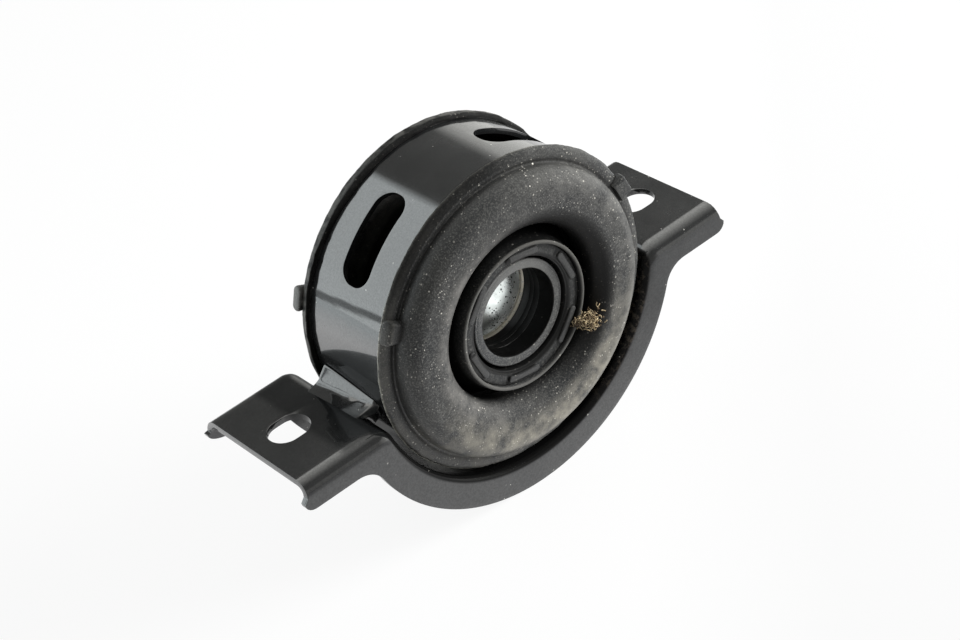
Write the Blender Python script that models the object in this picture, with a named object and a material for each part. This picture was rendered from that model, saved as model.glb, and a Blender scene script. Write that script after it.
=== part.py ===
"""Driveshaft centre bearing: a ball bearing in a rubber cushion, inside a pierced steel ring that is
welded to a flanged mounting bracket.

Frame, in metres: +X runs along the bracket's ears, -Y is the front end of the shaft axis, +Z is up.
The origin is under the middle of the part, level with the lowest facet of its saddle. Profiles of
turned pieces are pairs (radius, reach), where reach is counted from the bearing's middle to the front.
"""
import bpy
import bmesh
from math import acos, asin, cos, pi, radians, sin, sqrt
from mathutils import Matrix, Vector

GAP = 0.0003                    # clearance between pieces that touch
BALL_GAP = 0.0004               # clearance round the balls, in the grooves and in the cage

# Ring band with its windows
BAND_RADIUS = 0.0550            # outer face
BAND_WALL = 0.0020
BAND_WIDTH = 0.0400
BAND_TURN = 4.0                 # degrees by which the band is turned on the bracket
WINDOW_SPREAD = 36.5            # degrees from the band's own vertical to a window's middle
WINDOW_LENGTH = 0.0340          # along the outer face
WINDOW_WIDTH = 0.0133
WINDOW_CORNER = 0.0060
RING_OFFSET = 0.00425           # middle of the ring in front of the middle of the bracket

# Bracket
SHEET = 0.0023                  # thickness of the pressed sheet
EAR_END = 0.0947                # half length over the ears
EAR_DROP = 0.0107               # top of the ears below the shaft axis
BRACKET_WIDTH = 0.0558          # over the outer faces of both flanges
SADDLE_ROOM = 0.0050            # between the band and the half-round saddle
EAR_BEND_RADIUS = 0.0075        # top face, where an ear turns down into the saddle
FLANGE_BEND_RADIUS = 0.0052     # outer face of the bend at both long edges
EAR_FLANGE_DEPTH = 0.0105       # flange depth below the top of an ear
SADDLE_FLANGE_DEPTH = 0.0117    # flange depth outside the saddle's inner face
FLANGE_FILLET = 0.0100          # flange's lower edge, between ear and saddle
FLANGE_FLARE = 0.0020           # how far the flange ends stand out past the ear
FLARE_LENGTH = 0.0120
FRONT_CORNER = 0.0035           # rounded lower corners of the front flange
REAR_CORNER = 0.0115            # rounded lower corners of the rear flange, along it
SLOT_SPACING = 0.1605
SLOT_LENGTH = 0.0155
SLOT_WIDTH = 0.0125

# Weld beads between band and bracket
WELD_START_ANGLE = 4.0          # degrees below the axis, on the band
WELD_ROOT_DEPTH = 0.6           # degrees below the end of the ear bend
WELD_TOE_ANGLE = 62.0           # on the ear bend, from level
WELD_LENGTH = 0.0300
WELD_CROWN = 0.0007             # how far the bead's face swells out
WELD_ROOM = 0.0006              # from the bead's rear end to the rubber lip

# Rubber cushion
LIP_HEIGHT = 0.0029             # of the front lip, outside the band
REAR_LIP_HEIGHT = 0.0020
LIP_OVERHANG = 0.0003           # widest part of a lip, past the band's edge
FRONT_LIP_GRIP = 0.0007         # how far a lip reaches back over the band
REAR_LIP_GRIP = 0.0026
BULGE_OVERHANG = 0.0094         # crest of the bulge past the band's edge
BULGE_INSET = 0.0028            # bulge inside the band's outer face
BULGE_ROUND = 0.0070
THROAT_RADIUS = 0.0315          # mouth of the deep groove between hub and bulge
THROAT_ROUND = 0.0082
CUSHION_WALL = 0.0033
CUFF_WALL = 0.0015
CUFF_LENGTH = 0.0044            # of the rubber inside the band's edge
HUB_RIM_RADIUS = 0.02685
HUB_REACH = 0.02665
HUB_RIM_WALL = 0.00125
HUB_FOOT_WALL = 0.0011          # least rubber between the sleeve and the groove
GROOVE_REACH = 0.0092           # floor of the deep groove round the hub
GROOVE_WIDTH = 0.0018
FRONT_TAB_ANGLES = (22.0, 156.0)        # moulded tabs on the lips, degrees from +X
REAR_TAB_ANGLES = (18.0, 162.5)
TAB_SPAN = 9.0                  # degrees
TAB_HEIGHT = 0.0013             # above the lip
TAB_DEPTH = 0.0050              # below the lip's crest
TAB_FRONT = 0.0040              # past the widest part of the lip
TAB_WIDTH = 0.0042

# Ball bearing, 30 x 62 x 16
BORE_RADIUS = 0.0150
BEARING_RADIUS = 0.0310
BEARING_WIDTH = 0.0160
BEARING_CHAMFER = 0.0010
BALL_SHARE = 0.29766            # ball radius over the mean of the section's height and width
BALL_COUNT = 9
INNER_LAND_SHARE = 0.175        # shoulders inside and outside the pitch circle, over the section's height
OUTER_LAND_SHARE = 0.200
CAGE_SHEET = 0.0007
CAGE_WIDTH = 0.0034
RIVET_RADIUS = 0.0006
RIVET_HEAD = 0.0004
SHIELD_SHEET = 0.0005
SHIELD_RECESS = 0.0006          # shields inside the bearing's faces

# Sleeve, dust seals and slingers
SLEEVE_WALL = 0.0015
SLEEVE_LIP = 0.0028             # how far its ends are rolled in over the outer race
SEAL_RECESS = 0.00165           # face of a dust seal inside the hub's rim
SEAL_INNER_RADIUS = 0.0206
SEAL_LIP_DEPTH = 0.0075
SEAL_STEP = 0.0009
SEAL_SHELL_LENGTH = 0.0075      # steel part of a seal's outside
PAD_COUNT = 6
PAD_TURN = 20.0                 # degrees to the first pad
PAD_SPAN = 34.0
PAD_HEIGHT = 0.0008
PAD_WIDTH = 0.0026
STIFFENER_SHEET = 0.0009
SLINGER_RECESS = 0.0018         # slinger inside the dust seal's face
SLINGER_RADIUS = 0.0194
SLINGER_FIT = 0.0007            # slinger's bore outside the bearing's bore
SLINGER_WALL = 0.0012

# Facets
RING_SIDES = 36
HUB_SIDES = 32                  # seals, slingers and inner race
INNER_SIDES = 28                # what the hub hides
BALL_SIDES = 8
SADDLE_STEPS = 12               # facets of half the saddle, beside half of the lowest one

BAND_EDGE = BAND_WIDTH / 2
SADDLE_RADIUS = BAND_RADIUS + SADDLE_ROOM
FLANGE_RADIUS = SADDLE_RADIUS + SADDLE_FLANGE_DEPTH
LIP_REACH = BAND_EDGE + LIP_OVERHANG
BULGE_REACH = BAND_EDGE + BULGE_OVERHANG
CORNER_RISE = EAR_FLANGE_DEPTH - FLANGE_BEND_RADIUS - GAP
NECK_RADIUS = HUB_RIM_RADIUS - HUB_RIM_WALL
SLEEVE_BORE = BEARING_RADIUS + GAP
SLEEVE_RADIUS = SLEEVE_BORE + SLEEVE_WALL
SECTION_HEIGHT = BEARING_RADIUS - BORE_RADIUS
SLEEVE_REACH = BEARING_WIDTH / 2 + GAP + SLEEVE_WALL
HUB_FOOT_RADIUS = SLEEVE_RADIUS + GAP + HUB_FOOT_WALL
PITCH_RADIUS = (BORE_RADIUS + BEARING_RADIUS) / 2
BALL_RADIUS = BALL_SHARE * sqrt(SECTION_HEIGHT * BEARING_WIDTH)
INNER_SHOULDER = PITCH_RADIUS - INNER_LAND_SHARE * SECTION_HEIGHT
OUTER_SHOULDER = PITCH_RADIUS + OUTER_LAND_SHARE * SECTION_HEIGHT
SHIELD_REACH = BEARING_WIDTH / 2 - SHIELD_RECESS
SEAL_REACH = HUB_REACH - SEAL_RECESS
SLINGER_BORE = BORE_RADIUS + SLINGER_FIT
SLINGER_TUBE = SLINGER_BORE + SLINGER_WALL
BRACKET_Y = (BULGE_REACH + RING_OFFSET - BRACKET_WIDTH / 2) / 2


def bend_into_circle(level, circle_radius, bend_radius):
    """Arc that leads from a level line below the axis into a circle about the axis, bulging up: its
    centre on the left-hand side, and the angle at which it meets the circle, in radians from level."""
    centre_z = level - bend_radius
    reach = circle_radius + bend_radius
    centre_x = -sqrt(reach ** 2 - centre_z ** 2)
    return Vector((centre_x, centre_z)), asin(-centre_z / reach)


def saddle_step(meet):
    """Angle of one facet of the saddle, with the lowest facet level."""
    return (pi / 2 - meet) / (SADDLE_STEPS + 0.5)


LOW_LEVEL = -EAR_DROP - EAR_FLANGE_DEPTH
LOW_MEET = bend_into_circle(LOW_LEVEL, FLANGE_RADIUS, FLANGE_FILLET)[1]
AXIS_HEIGHT = FLANGE_RADIUS * cos(saddle_step(LOW_MEET) / 2)
CENTRE = Vector((0.0, BRACKET_Y - RING_OFFSET, AXIS_HEIGHT))


def clear_scene():
    for item in list(bpy.data.objects):
        bpy.data.objects.remove(item, do_unlink=True)


def make_material(name, colour, roughness, metallic=0.0):
    material = bpy.data.materials.new(name)
    material.use_nodes = True
    shader = material.node_tree.nodes["Principled BSDF"]
    shader.inputs["Base Color"].default_value = (*colour, 1.0)
    shader.inputs["Roughness"].default_value = roughness
    shader.inputs["Metallic"].default_value = metallic
    return material


def add_object(name, bm, material, location):
    """Turns a finished bmesh into a named, smooth-shaded object."""
    bmesh.ops.recalc_face_normals(bm, faces=bm.faces)
    mesh = bpy.data.meshes.new(name)
    bm.to_mesh(mesh)
    bm.free()
    mesh.shade_smooth()
    mesh.set_sharp_from_angle(angle=radians(35))
    piece = bpy.data.objects.new(name, mesh)
    piece.location = location
    if material:
        mesh.materials.append(material)
    bpy.context.collection.objects.link(piece)
    return piece


def cut_or_join(piece, tool, operation):
    """Applies a cutter or an addition to a piece as a live Boolean."""
    tool.hide_render = True
    tool.display_type = 'WIRE'
    modifier = piece.modifiers.new(tool.name, 'BOOLEAN')
    modifier.operation = operation
    modifier.solver = 'EXACT'
    modifier.object = tool


def arc(centre, radius, start, end, steps):
    """Points (radius, reach) on an arc, angles in degrees from the radial direction."""
    points = []
    for step in range(steps + 1):
        angle = radians(start + (end - start) * step / steps)
        points.append((centre[0] + radius * cos(angle), centre[1] + radius * sin(angle)))
    return points


def mirrored(profile):
    """The same profile at the rear end, in reverse order."""
    return [(radius, -reach) for radius, reach in reversed(profile)]


def turned_mesh(profile, sides):
    """Spins a closed profile about the shaft axis."""
    bm = bmesh.new()
    verts = [bm.verts.new((radius, -reach, 0.0)) for radius, reach in profile]
    edges = [bm.edges.new((verts[i], verts[(i + 1) % len(verts)])) for i in range(len(verts))]
    bmesh.ops.spin(bm, geom=verts + edges, cent=(0, 0, 0), axis=(0, 1, 0), dvec=(0, 0, 0),
                   angle=2 * pi, steps=sides, use_merge=True, use_duplicate=False)
    return bm


def turned(name, profile, material, sides=RING_SIDES, front=True):
    """A turned piece on the shaft axis; front=False turns it end for end."""
    bm = turned_mesh(profile, sides)
    if not front:
        bmesh.ops.scale(bm, vec=(1, -1, 1), verts=bm.verts)
    return add_object(name, bm, material, CENTRE)


def loft(sections, closed=False):
    """Skins matching sections; an open loft gets a face at each end."""
    bm = bmesh.new()
    loops = [[bm.verts.new(point) for point in section] for section in sections]
    count = len(loops[0])
    pairs = list(zip(loops, loops[1:]))
    if closed:
        pairs.append((loops[-1], loops[0]))
    for near, far in pairs:
        for i in range(count):
            j = (i + 1) % count
            bm.faces.new((near[i], near[j], far[j], far[i]))
    if not closed:
        for loop in (loops[0], loops[-1]):
            cap_folded_strip(bm, loop)
    return bm


def cap_folded_strip(bm, loop):
    """Closes an end whose second half runs back along the first."""
    half = len(loop) // 2
    for i in range(half - 1):
        bm.faces.new((loop[i], loop[i + 1], loop[-2 - i], loop[-1 - i]))


def path_points(level, circle_radius, bend_radius, ear_stations, bend_steps):
    """Left half of an outline of the bracket, from the ear's end to the saddle's lowest facet, as
    pairs of point and upward normal in the XZ plane, heights counted from the shaft axis."""
    centre, meet = bend_into_circle(level, circle_radius, bend_radius)
    points = [(Vector((-EAR_END + distance, level)), Vector((0, 1))) for distance in ear_stations]
    for step in range(bend_steps + 1):
        angle = pi / 2 + (meet - pi / 2) * step / bend_steps
        normal = Vector((cos(angle), sin(angle)))
        points.append((centre + normal * bend_radius, normal))
    for step in range(1, SADDLE_STEPS + 1):
        angle = pi + meet + saddle_step(meet) * step
        outward = Vector((cos(angle), sin(angle)))
        points.append((outward * circle_radius, -outward))
    return points


def corner_loss(distance, corner):
    """How much a rounded corner takes off the flange at a distance from its end."""
    if distance >= corner:
        return 0.0
    return min(corner, CORNER_RISE) * (1 - sqrt(1 - (1 - distance / corner) ** 2))


def bracket_section(top, low, y_half, distance):
    """Folded-strip section: outer face from the front flange's edge to the rear one, and back inside."""
    point, normal = top
    foot = low[0]
    flare = FLANGE_FLARE * max(0.0, 1 - distance / FLARE_LENGTH)
    inner_round = FLANGE_BEND_RADIUS - SHEET
    flat_half = y_half - FLANGE_BEND_RADIUS

    def at(depth, y):
        place = point - normal * depth
        lean = flare * min(1.0, depth / (2 * FLANGE_BEND_RADIUS)) ** 2
        return Vector((place.x - lean, y, place.y + AXIS_HEIGHT))

    def flange_foot(corner, y):
        loss = corner_loss(distance, corner)
        return Vector((foot.x - flare, y, foot.y + loss + AXIS_HEIGHT))

    def bend(radius, order):
        turns = []
        for step in order:
            angle = pi / 2 * step / 3
            depth = FLANGE_BEND_RADIUS - radius * cos(angle)
            turns.append((depth, flat_half + radius * sin(angle)))
        return turns

    section = [flange_foot(FRONT_CORNER, -y_half)]
    section += [at(depth, -y) for depth, y in bend(FLANGE_BEND_RADIUS, (3, 2, 1, 0))]
    section += [at(depth, y) for depth, y in bend(FLANGE_BEND_RADIUS, (0, 1, 2, 3))]
    section.append(flange_foot(REAR_CORNER, y_half))
    section.append(flange_foot(REAR_CORNER, y_half - SHEET))
    section += [at(depth, y) for depth, y in bend(inner_round, (3, 2, 1, 0))]
    section += [at(depth, -y) for depth, y in bend(inner_round, (0, 1, 2, 3))]
    section.append(flange_foot(FRONT_CORNER, -y_half + SHEET))
    return section


def slot_cutter(name, x):
    """A round-ended prism that pierces an ear."""
    bm = bmesh.new()
    radius = SLOT_WIDTH / 2
    straight = (SLOT_LENGTH - SLOT_WIDTH) / 2
    outline = []
    for side in (1, -1):
        for step in range(9):
            angle = -pi / 2 + pi * step / 8
            outline.append((side * (straight + radius * cos(angle)), side * radius * sin(angle), 0.0))
    face = bm.faces.new([bm.verts.new(point) for point in outline])
    depth = 4 * SHEET
    moved = bmesh.ops.extrude_face_region(bm, geom=[face])["geom"]
    bmesh.ops.translate(bm, vec=(0, 0, depth), verts=[v for v in moved if isinstance(v, bmesh.types.BMVert)])
    level = AXIS_HEIGHT - EAR_DROP - SHEET / 2
    return add_object(name, bm, None, (x, BRACKET_Y, level - depth / 2))


def make_bracket(material):
    ear_stations = sorted([0.0, 0.0006, 0.0015, FRONT_CORNER, REAR_CORNER, FLARE_LENGTH])
    top = path_points(-EAR_DROP, SADDLE_RADIUS, EAR_BEND_RADIUS, ear_stations, 5)
    low = path_points(LOW_LEVEL, FLANGE_RADIUS, FLANGE_FILLET, ear_stations, 5)
    distances = ear_stations + [FLARE_LENGTH] * (len(top) - len(ear_stations))
    y_half = BRACKET_WIDTH / 2
    left = [bracket_section(t, b, y_half, d) for t, b, d in zip(top, low, distances)]
    right = [[Vector((-p.x, p.y, p.z)) for p in section] for section in reversed(left)]
    bracket = add_object("bracket", loft(left + right), material, (0, BRACKET_Y, 0))
    for side, x in (("left", -SLOT_SPACING / 2), ("right", SLOT_SPACING / 2)):
        cut_or_join(bracket, slot_cutter("slot_" + side, x), 'DIFFERENCE')
    return bracket


def window_cutter(name, angle):
    """A rounded window, as a straight prism that points out from the axis."""
    bm = bmesh.new()
    half_angle = WINDOW_LENGTH / BAND_RADIUS / 2
    half_length = BAND_RADIUS * sin(half_angle) - WINDOW_CORNER
    half_width = WINDOW_WIDTH / 2 - WINDOW_CORNER
    corners = ((half_length, half_width, 0), (-half_length, half_width, 90),
               (-half_length, -half_width, 180), (half_length, -half_width, 270))
    outline = []
    for along, across, turn in corners:
        for step in range(5):
            bend = radians(turn + 22.5 * step)
            outline.append((0.0, across + WINDOW_CORNER * sin(bend), along + WINDOW_CORNER * cos(bend)))
    face = bm.faces.new([bm.verts.new(point) for point in outline])
    moved = bmesh.ops.extrude_face_region(bm, geom=[face])["geom"]
    start = BAND_RADIUS * cos(half_angle) - 3 * BAND_WALL
    length = 8 * BAND_WALL
    bmesh.ops.translate(bm, vec=(length, 0, 0), verts=[v for v in moved if isinstance(v, bmesh.types.BMVert)])
    bmesh.ops.translate(bm, vec=(start, 0, 0), verts=bm.verts)
    bmesh.ops.rotate(bm, cent=(0, 0, 0), matrix=Matrix.Rotation(-radians(angle), 3, 'Y'), verts=bm.verts)
    return add_object(name, bm, None, CENTRE)


def make_ring_band(material):
    half = BAND_EDGE
    inner = BAND_RADIUS - BAND_WALL
    profile = [(BAND_RADIUS, half), (BAND_RADIUS, -half), (inner, -half), (inner, half)]
    band = turned("ring_band", profile, material)
    for top in (90.0, 270.0):
        for side in (-1, 1):
            angle = top + BAND_TURN + side * WINDOW_SPREAD
            cut_or_join(band, window_cutter("window_%03d" % round(angle), angle), 'DIFFERENCE')
    return band


def make_weld(name, side, material):
    """A bead in the corner between the band and the turn of the ear, along the shaft axis."""
    band = BAND_RADIUS + GAP
    saddle = SADDLE_RADIUS - GAP
    centre, meet = bend_into_circle(-EAR_DROP, SADDLE_RADIUS, EAR_BEND_RADIUS)
    turn = EAR_BEND_RADIUS + GAP
    root = meet + radians(WELD_ROOT_DEPTH)
    start = radians(WELD_START_ANGLE)
    middle = (start + root) / 2
    bead = [Vector((-band * cos(a), -band * sin(a))) for a in (start, middle, root)]
    bead.append(Vector((-saddle * cos(root), -saddle * sin(root))))
    toe = radians(WELD_TOE_ANGLE)
    for share in (0.0, 0.5, 1.0):
        angle = meet + (toe - meet) * share
        bead.append(centre + turn * Vector((cos(angle), sin(angle))))
    face = bead[0] - bead[-1]
    swell = Vector((-face.y, face.x)).normalized() * WELD_CROWN
    bead.append((bead[0] + bead[-1]) / 2 + swell)
    anchor = (bead[2] + bead[3]) / 2
    middle = BAND_EDGE - REAR_LIP_GRIP - WELD_ROOM - WELD_LENGTH / 2
    sections = []
    for share, size in ((-1.0, 0.55), (-0.9, 0.9), (-0.6, 1.0), (0.6, 1.0), (0.9, 0.9), (1.0, 0.55)):
        section = []
        for point in bead:
            place = anchor + (point - anchor) * size
            section.append(Vector((-side * place.x, middle + share * WELD_LENGTH / 2, place.y)))
        sections.append(section)
    bm = loft(sections, closed=False)
    return add_object(name, bm, material, CENTRE)


def lip_profile(height, grip):
    """Outside of a lip that hooks over the band's edge, from its foot to the groove."""
    crest, foot = BAND_RADIUS + height, BAND_EDGE - grip
    return [(BAND_RADIUS + GAP, foot),
            (crest - 0.35 * height, foot + 0.0002),
            (crest, foot + 0.0008),
            (crest, LIP_REACH),
            (crest - 0.45 * height, LIP_REACH + 0.0013),
            (crest - 1.1 * height, LIP_REACH + 0.0019)]


def bulge_centres():
    """Middles of the two roundings of the bulge: the outer one and the one at the throat."""
    outer = (BAND_RADIUS - BULGE_INSET - BULGE_ROUND, BULGE_REACH - BULGE_ROUND)
    return outer, (THROAT_RADIUS + THROAT_ROUND, BULGE_REACH - THROAT_ROUND)


def groove_wall():
    """Outer wall of the groove round the hub, from the throat down to its floor."""
    return [(THROAT_RADIUS + 0.0015, GROOVE_REACH + 0.0063),
            (HUB_FOOT_RADIUS + GROOVE_WIDTH, GROOVE_REACH + 0.0013)]


def cushion_half(height, grip):
    """Outer surface of the cushion's front half, from the lip's foot to the sleeve's seat."""
    outer, throat = bulge_centres()
    cone = HUB_FOOT_RADIUS - HUB_RIM_RADIUS
    profile = lip_profile(height, grip)
    profile += arc(outer, BULGE_ROUND, 0, 90, 4)
    profile += arc(throat, THROAT_ROUND, 90, 180, 3)
    profile += groove_wall()
    profile += [(HUB_FOOT_RADIUS + 0.55 * GROOVE_WIDTH, GROOVE_REACH),
                (HUB_FOOT_RADIUS, GROOVE_REACH + 0.0008),
                (HUB_RIM_RADIUS + 0.64 * cone, GROOVE_REACH + 0.0050),
                (HUB_RIM_RADIUS + 0.28 * cone, HUB_REACH - 0.0070),
                (HUB_RIM_RADIUS, HUB_REACH),
                (NECK_RADIUS, HUB_REACH),
                (NECK_RADIUS, SLEEVE_REACH + GAP),
                (SLEEVE_RADIUS + GAP, SLEEVE_REACH + GAP)]
    return profile


def chamber_half():
    """Front half of the hollow behind the windows, from the middle out to the band's edge."""
    outer, throat = bulge_centres()
    cuff = BAND_RADIUS - BAND_WALL - GAP
    edge = BAND_EDGE + GAP
    profile = [(radius + CUSHION_WALL, reach) for radius, reach in reversed(groove_wall())]
    profile += arc(throat, THROAT_ROUND - CUSHION_WALL, 165, 105, 2)
    profile += arc(outer, BULGE_ROUND - CUSHION_WALL, 75, 15, 2)
    profile += [(cuff - CUFF_WALL, edge - CUFF_LENGTH), (cuff, edge - CUFF_LENGTH), (cuff, edge),
                (BAND_RADIUS + GAP, edge)]
    return profile


def tab_block(name, angle, reach, crest):
    """One moulded tab, a short arc that stands out from a lip."""
    sections = []
    for step in range(4):
        turn = radians(angle + TAB_SPAN * (step / 3 - 0.5))
        top = crest + TAB_HEIGHT * (0.75 if step in (0, 3) else 1.0)
        low = crest - TAB_DEPTH
        corners = ((low, -0.5), (top - 0.0008, -0.5), (top, -0.25), (top, 0.25), (top - 0.0008, 0.5), (low, 0.5))
        sections.append([Vector((r * cos(turn), -reach + w * TAB_WIDTH, r * sin(turn))) for r, w in corners])
    bm = loft(sections)
    return add_object(name, bm, None, CENTRE)


def make_cushion(material):
    rear = mirrored(cushion_half(REAR_LIP_HEIGHT, REAR_LIP_GRIP))
    chamber = chamber_half()
    profile = cushion_half(LIP_HEIGHT, FRONT_LIP_GRIP) + rear + mirrored(chamber) + chamber
    cushion = turned("rubber_cushion", profile, material)
    reach = LIP_REACH + TAB_FRONT - TAB_WIDTH / 2
    for number, angle in enumerate(FRONT_TAB_ANGLES, 1):
        tab = tab_block("tab_front_%d" % number, angle, reach, BAND_RADIUS + LIP_HEIGHT)
        cut_or_join(cushion, tab, 'UNION')
    for number, angle in enumerate(REAR_TAB_ANGLES, 1):
        tab = tab_block("tab_rear_%d" % number, angle, -reach, BAND_RADIUS + REAR_LIP_HEIGHT)
        cut_or_join(cushion, tab, 'UNION')
    return cushion


def make_sleeve(material):
    """Steel tube round the bearing, both ends rolled in over the outer race."""
    inside = BEARING_WIDTH / 2 + GAP
    lip = BEARING_RADIUS - SLEEVE_LIP
    half = [(SLEEVE_RADIUS, SLEEVE_REACH - 0.0005), (SLEEVE_RADIUS - 0.0005, SLEEVE_REACH),
            (lip, SLEEVE_REACH), (lip, inside), (SLEEVE_BORE, inside)]
    return turned("bearing_sleeve", half + mirrored(half), material, INNER_SIDES)


def raceway(shoulder, sign, steps=4):
    """Groove for the balls, from the front shoulder to the rear one; sign is +1 on the outer race."""
    groove = BALL_RADIUS + BALL_GAP
    offset = abs(PITCH_RADIUS - shoulder)
    sweep = acos(offset / groove)
    points = []
    for step in range(steps + 1):
        angle = sweep * (1 - 2 * step / steps)
        points.append((PITCH_RADIUS + sign * groove * cos(angle), groove * sin(angle)))
    return points


def make_races(material):
    half, chamfer = BEARING_WIDTH / 2, BEARING_CHAMFER
    groove = raceway(OUTER_SHOULDER, 1)
    seat = SHIELD_REACH + GAP
    outer = [(BEARING_RADIUS, half - chamfer), (BEARING_RADIUS - chamfer, half),
             (OUTER_SHOULDER + 0.0006, half), (OUTER_SHOULDER, seat)]
    closing = [(OUTER_SHOULDER, -seat), (OUTER_SHOULDER + 0.0006, -half),
               (BEARING_RADIUS - chamfer, -half), (BEARING_RADIUS, -half + chamfer)]
    turned("outer_race", outer + groove + closing, material, INNER_SIDES)
    groove = raceway(INNER_SHOULDER, -1)
    inner = [(BORE_RADIUS, half - chamfer), (BORE_RADIUS + chamfer, half), (INNER_SHOULDER, half)]
    turned("inner_race", inner + groove + mirrored(inner), material, HUB_SIDES)


def pitch_place(index, share=0.0):
    """Angle of a ball, or of a spot between two balls, in radians from +X."""
    return 2 * pi * (index + share) / BALL_COUNT + pi / 2


def make_balls(material):
    for index in range(BALL_COUNT):
        bm = bmesh.new()
        bmesh.ops.create_uvsphere(bm, u_segments=BALL_SIDES, v_segments=BALL_SIDES - 3, radius=BALL_RADIUS)
        angle = pitch_place(index)
        place = CENTRE + PITCH_RADIUS * Vector((cos(angle), 0, sin(angle)))
        add_object("ball_%d" % (index + 1), bm, material, place)


def cage_path():
    """One pitch of the pressed cage's middle line: pairs of angle about the axis, reach, and the
    line's normal in that unrolled plane."""
    flat, facets = CAGE_SHEET / 2 + GAP / 2, 6
    pocket = (BALL_RADIUS + BALL_GAP + CAGE_SHEET / 2) / cos(pi / 2 / facets)
    first = asin(flat / pocket)
    points = []
    for step in range(facets + 1):
        turn = first + (pi - 2 * first) * step / facets
        points.append((-pocket * cos(turn) / PITCH_RADIUS, pocket * sin(turn), (-cos(turn), sin(turn))))
    points[0] = (points[0][0], flat, (-0.5, 0.87))
    points[-1] = (points[-1][0], flat, (0.5, 0.87))
    return points


def make_cage(name, end, material):
    """A wavy pressed ring: half of every ball pocket, and flats that are riveted to the other half."""
    sections = []
    for index in range(BALL_COUNT):
        for turn, reach, normal in cage_path():
            section = []
            for radius, face in ((-0.5, -0.5), (0.5, -0.5), (0.5, 0.5), (-0.5, 0.5)):
                shift = face * CAGE_SHEET
                angle = pitch_place(index) + turn + shift * normal[0] / PITCH_RADIUS
                distance = PITCH_RADIUS + radius * CAGE_WIDTH
                along = -end * (reach + shift * normal[1])
                section.append(Vector((distance * cos(angle), along, distance * sin(angle))))
            sections.append(section)
    return add_object(name, loft(sections, closed=True), material, CENTRE)


def make_rivet_holes(cage_halves):
    """Holes for the rivets through the flats of both cage halves."""
    bm = bmesh.new()
    for index in range(BALL_COUNT):
        angle = pitch_place(index, 0.5)
        place = Matrix.Translation(PITCH_RADIUS * Vector((cos(angle), 0, sin(angle))))
        turn = Matrix.Rotation(pi / 2, 4, 'X')
        bmesh.ops.create_cone(bm, cap_ends=True, segments=6, radius1=RIVET_RADIUS + GAP,
                              radius2=RIVET_RADIUS + GAP, depth=6 * CAGE_SHEET, matrix=place @ turn)
    holes = add_object("rivet_holes", bm, None, CENTRE)
    for half in cage_halves:
        cut_or_join(half, holes, 'DIFFERENCE')


def make_rivets(material):
    face = CAGE_SHEET + GAP / 2 + GAP
    for index in range(BALL_COUNT):
        bm = bmesh.new()
        outline = ((0.0, face + RIVET_HEAD), (2 * RIVET_RADIUS, face), (RIVET_RADIUS, face))
        profile = list(outline) + [(r, -a) for r, a in reversed(outline)]
        verts = [bm.verts.new((radius, -along, 0)) for radius, along in profile]
        edges = [bm.edges.new(pair) for pair in zip(verts, verts[1:])]
        bmesh.ops.spin(bm, geom=verts + edges, cent=(0, 0, 0), axis=(0, 1, 0), dvec=(0, 0, 0),
                       angle=2 * pi, steps=6, use_merge=True, use_duplicate=False)
        bmesh.ops.remove_doubles(bm, verts=bm.verts, dist=0.00001)
        angle = pitch_place(index, 0.5)
        place = CENTRE + PITCH_RADIUS * Vector((cos(angle), 0, sin(angle)))
        add_object("rivet_%d" % (index + 1), bm, material, place)


def make_shields(material):
    inner = INNER_SHOULDER + GAP
    outer = OUTER_SHOULDER - GAP
    profile = [(outer, SHIELD_REACH), (inner, SHIELD_REACH), (inner, SHIELD_REACH - SHIELD_SHEET),
               (outer, SHIELD_REACH - SHIELD_SHEET)]
    turned("bearing_shield_front", profile, material, INNER_SIDES)
    turned("bearing_shield_rear", profile, material, INNER_SIDES, front=False)


def seal_pad(name, angle):
    """A raised pad on a dust seal's face."""
    middle = (SEAL_INNER_RADIUS + NECK_RADIUS) / 2 + 0.0002
    sections = []
    for step in range(4):
        turn = radians(angle + PAD_SPAN * (step / 3 - 0.5))
        width = PAD_WIDTH * (0.7 if step in (0, 3) else 1.0)
        corners = ((-0.5, -PAD_HEIGHT), (-0.5, PAD_HEIGHT), (0.5, PAD_HEIGHT), (0.5, -PAD_HEIGHT))
        section = []
        for across, up in corners:
            radius = middle + across * width
            section.append(Vector((radius * cos(turn), -SEAL_REACH - up, radius * sin(turn))))
        sections.append(section)
    return loft(sections)


def make_dust_seal(end, material):
    outer = NECK_RADIUS - GAP
    shell = outer - STIFFENER_SHEET - GAP
    back = SLEEVE_REACH + 2 * GAP + STIFFENER_SHEET + GAP
    shell_end = back + SEAL_SHELL_LENGTH
    lip_tip = SLINGER_TUBE + GAP
    inner = SEAL_INNER_RADIUS
    lip = SEAL_REACH - SEAL_LIP_DEPTH
    profile = [(outer, SEAL_REACH), (inner + 0.0006, SEAL_REACH), (inner, SEAL_REACH - SEAL_STEP),
               (inner, lip + 0.0030), (lip_tip, lip), (lip_tip, lip - 0.0008), (inner, lip), (inner, back), (shell, back), (shell, shell_end), (outer, shell_end)]
    bm = turned_mesh(profile, HUB_SIDES)
    if end == "rear":
        bmesh.ops.scale(bm, vec=(1, -1, 1), verts=bm.verts)
    seal = add_object("dust_seal_" + end, bm, material, CENTRE)
    pads = bmesh.new()
    for index in range(PAD_COUNT):
        pad = seal_pad("pad", PAD_TURN + 360.0 * index / PAD_COUNT)
        holder = bpy.data.meshes.new("pad")
        pad.to_mesh(holder)
        pad.free()
        pads.from_mesh(holder)
        bpy.data.meshes.remove(holder)
    if end == "rear":
        bmesh.ops.scale(pads, vec=(1, -1, 1), verts=pads.verts)
    cut_or_join(seal, add_object("seal_pads_" + end, pads, None, CENTRE), 'UNION')
    return shell_end


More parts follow.
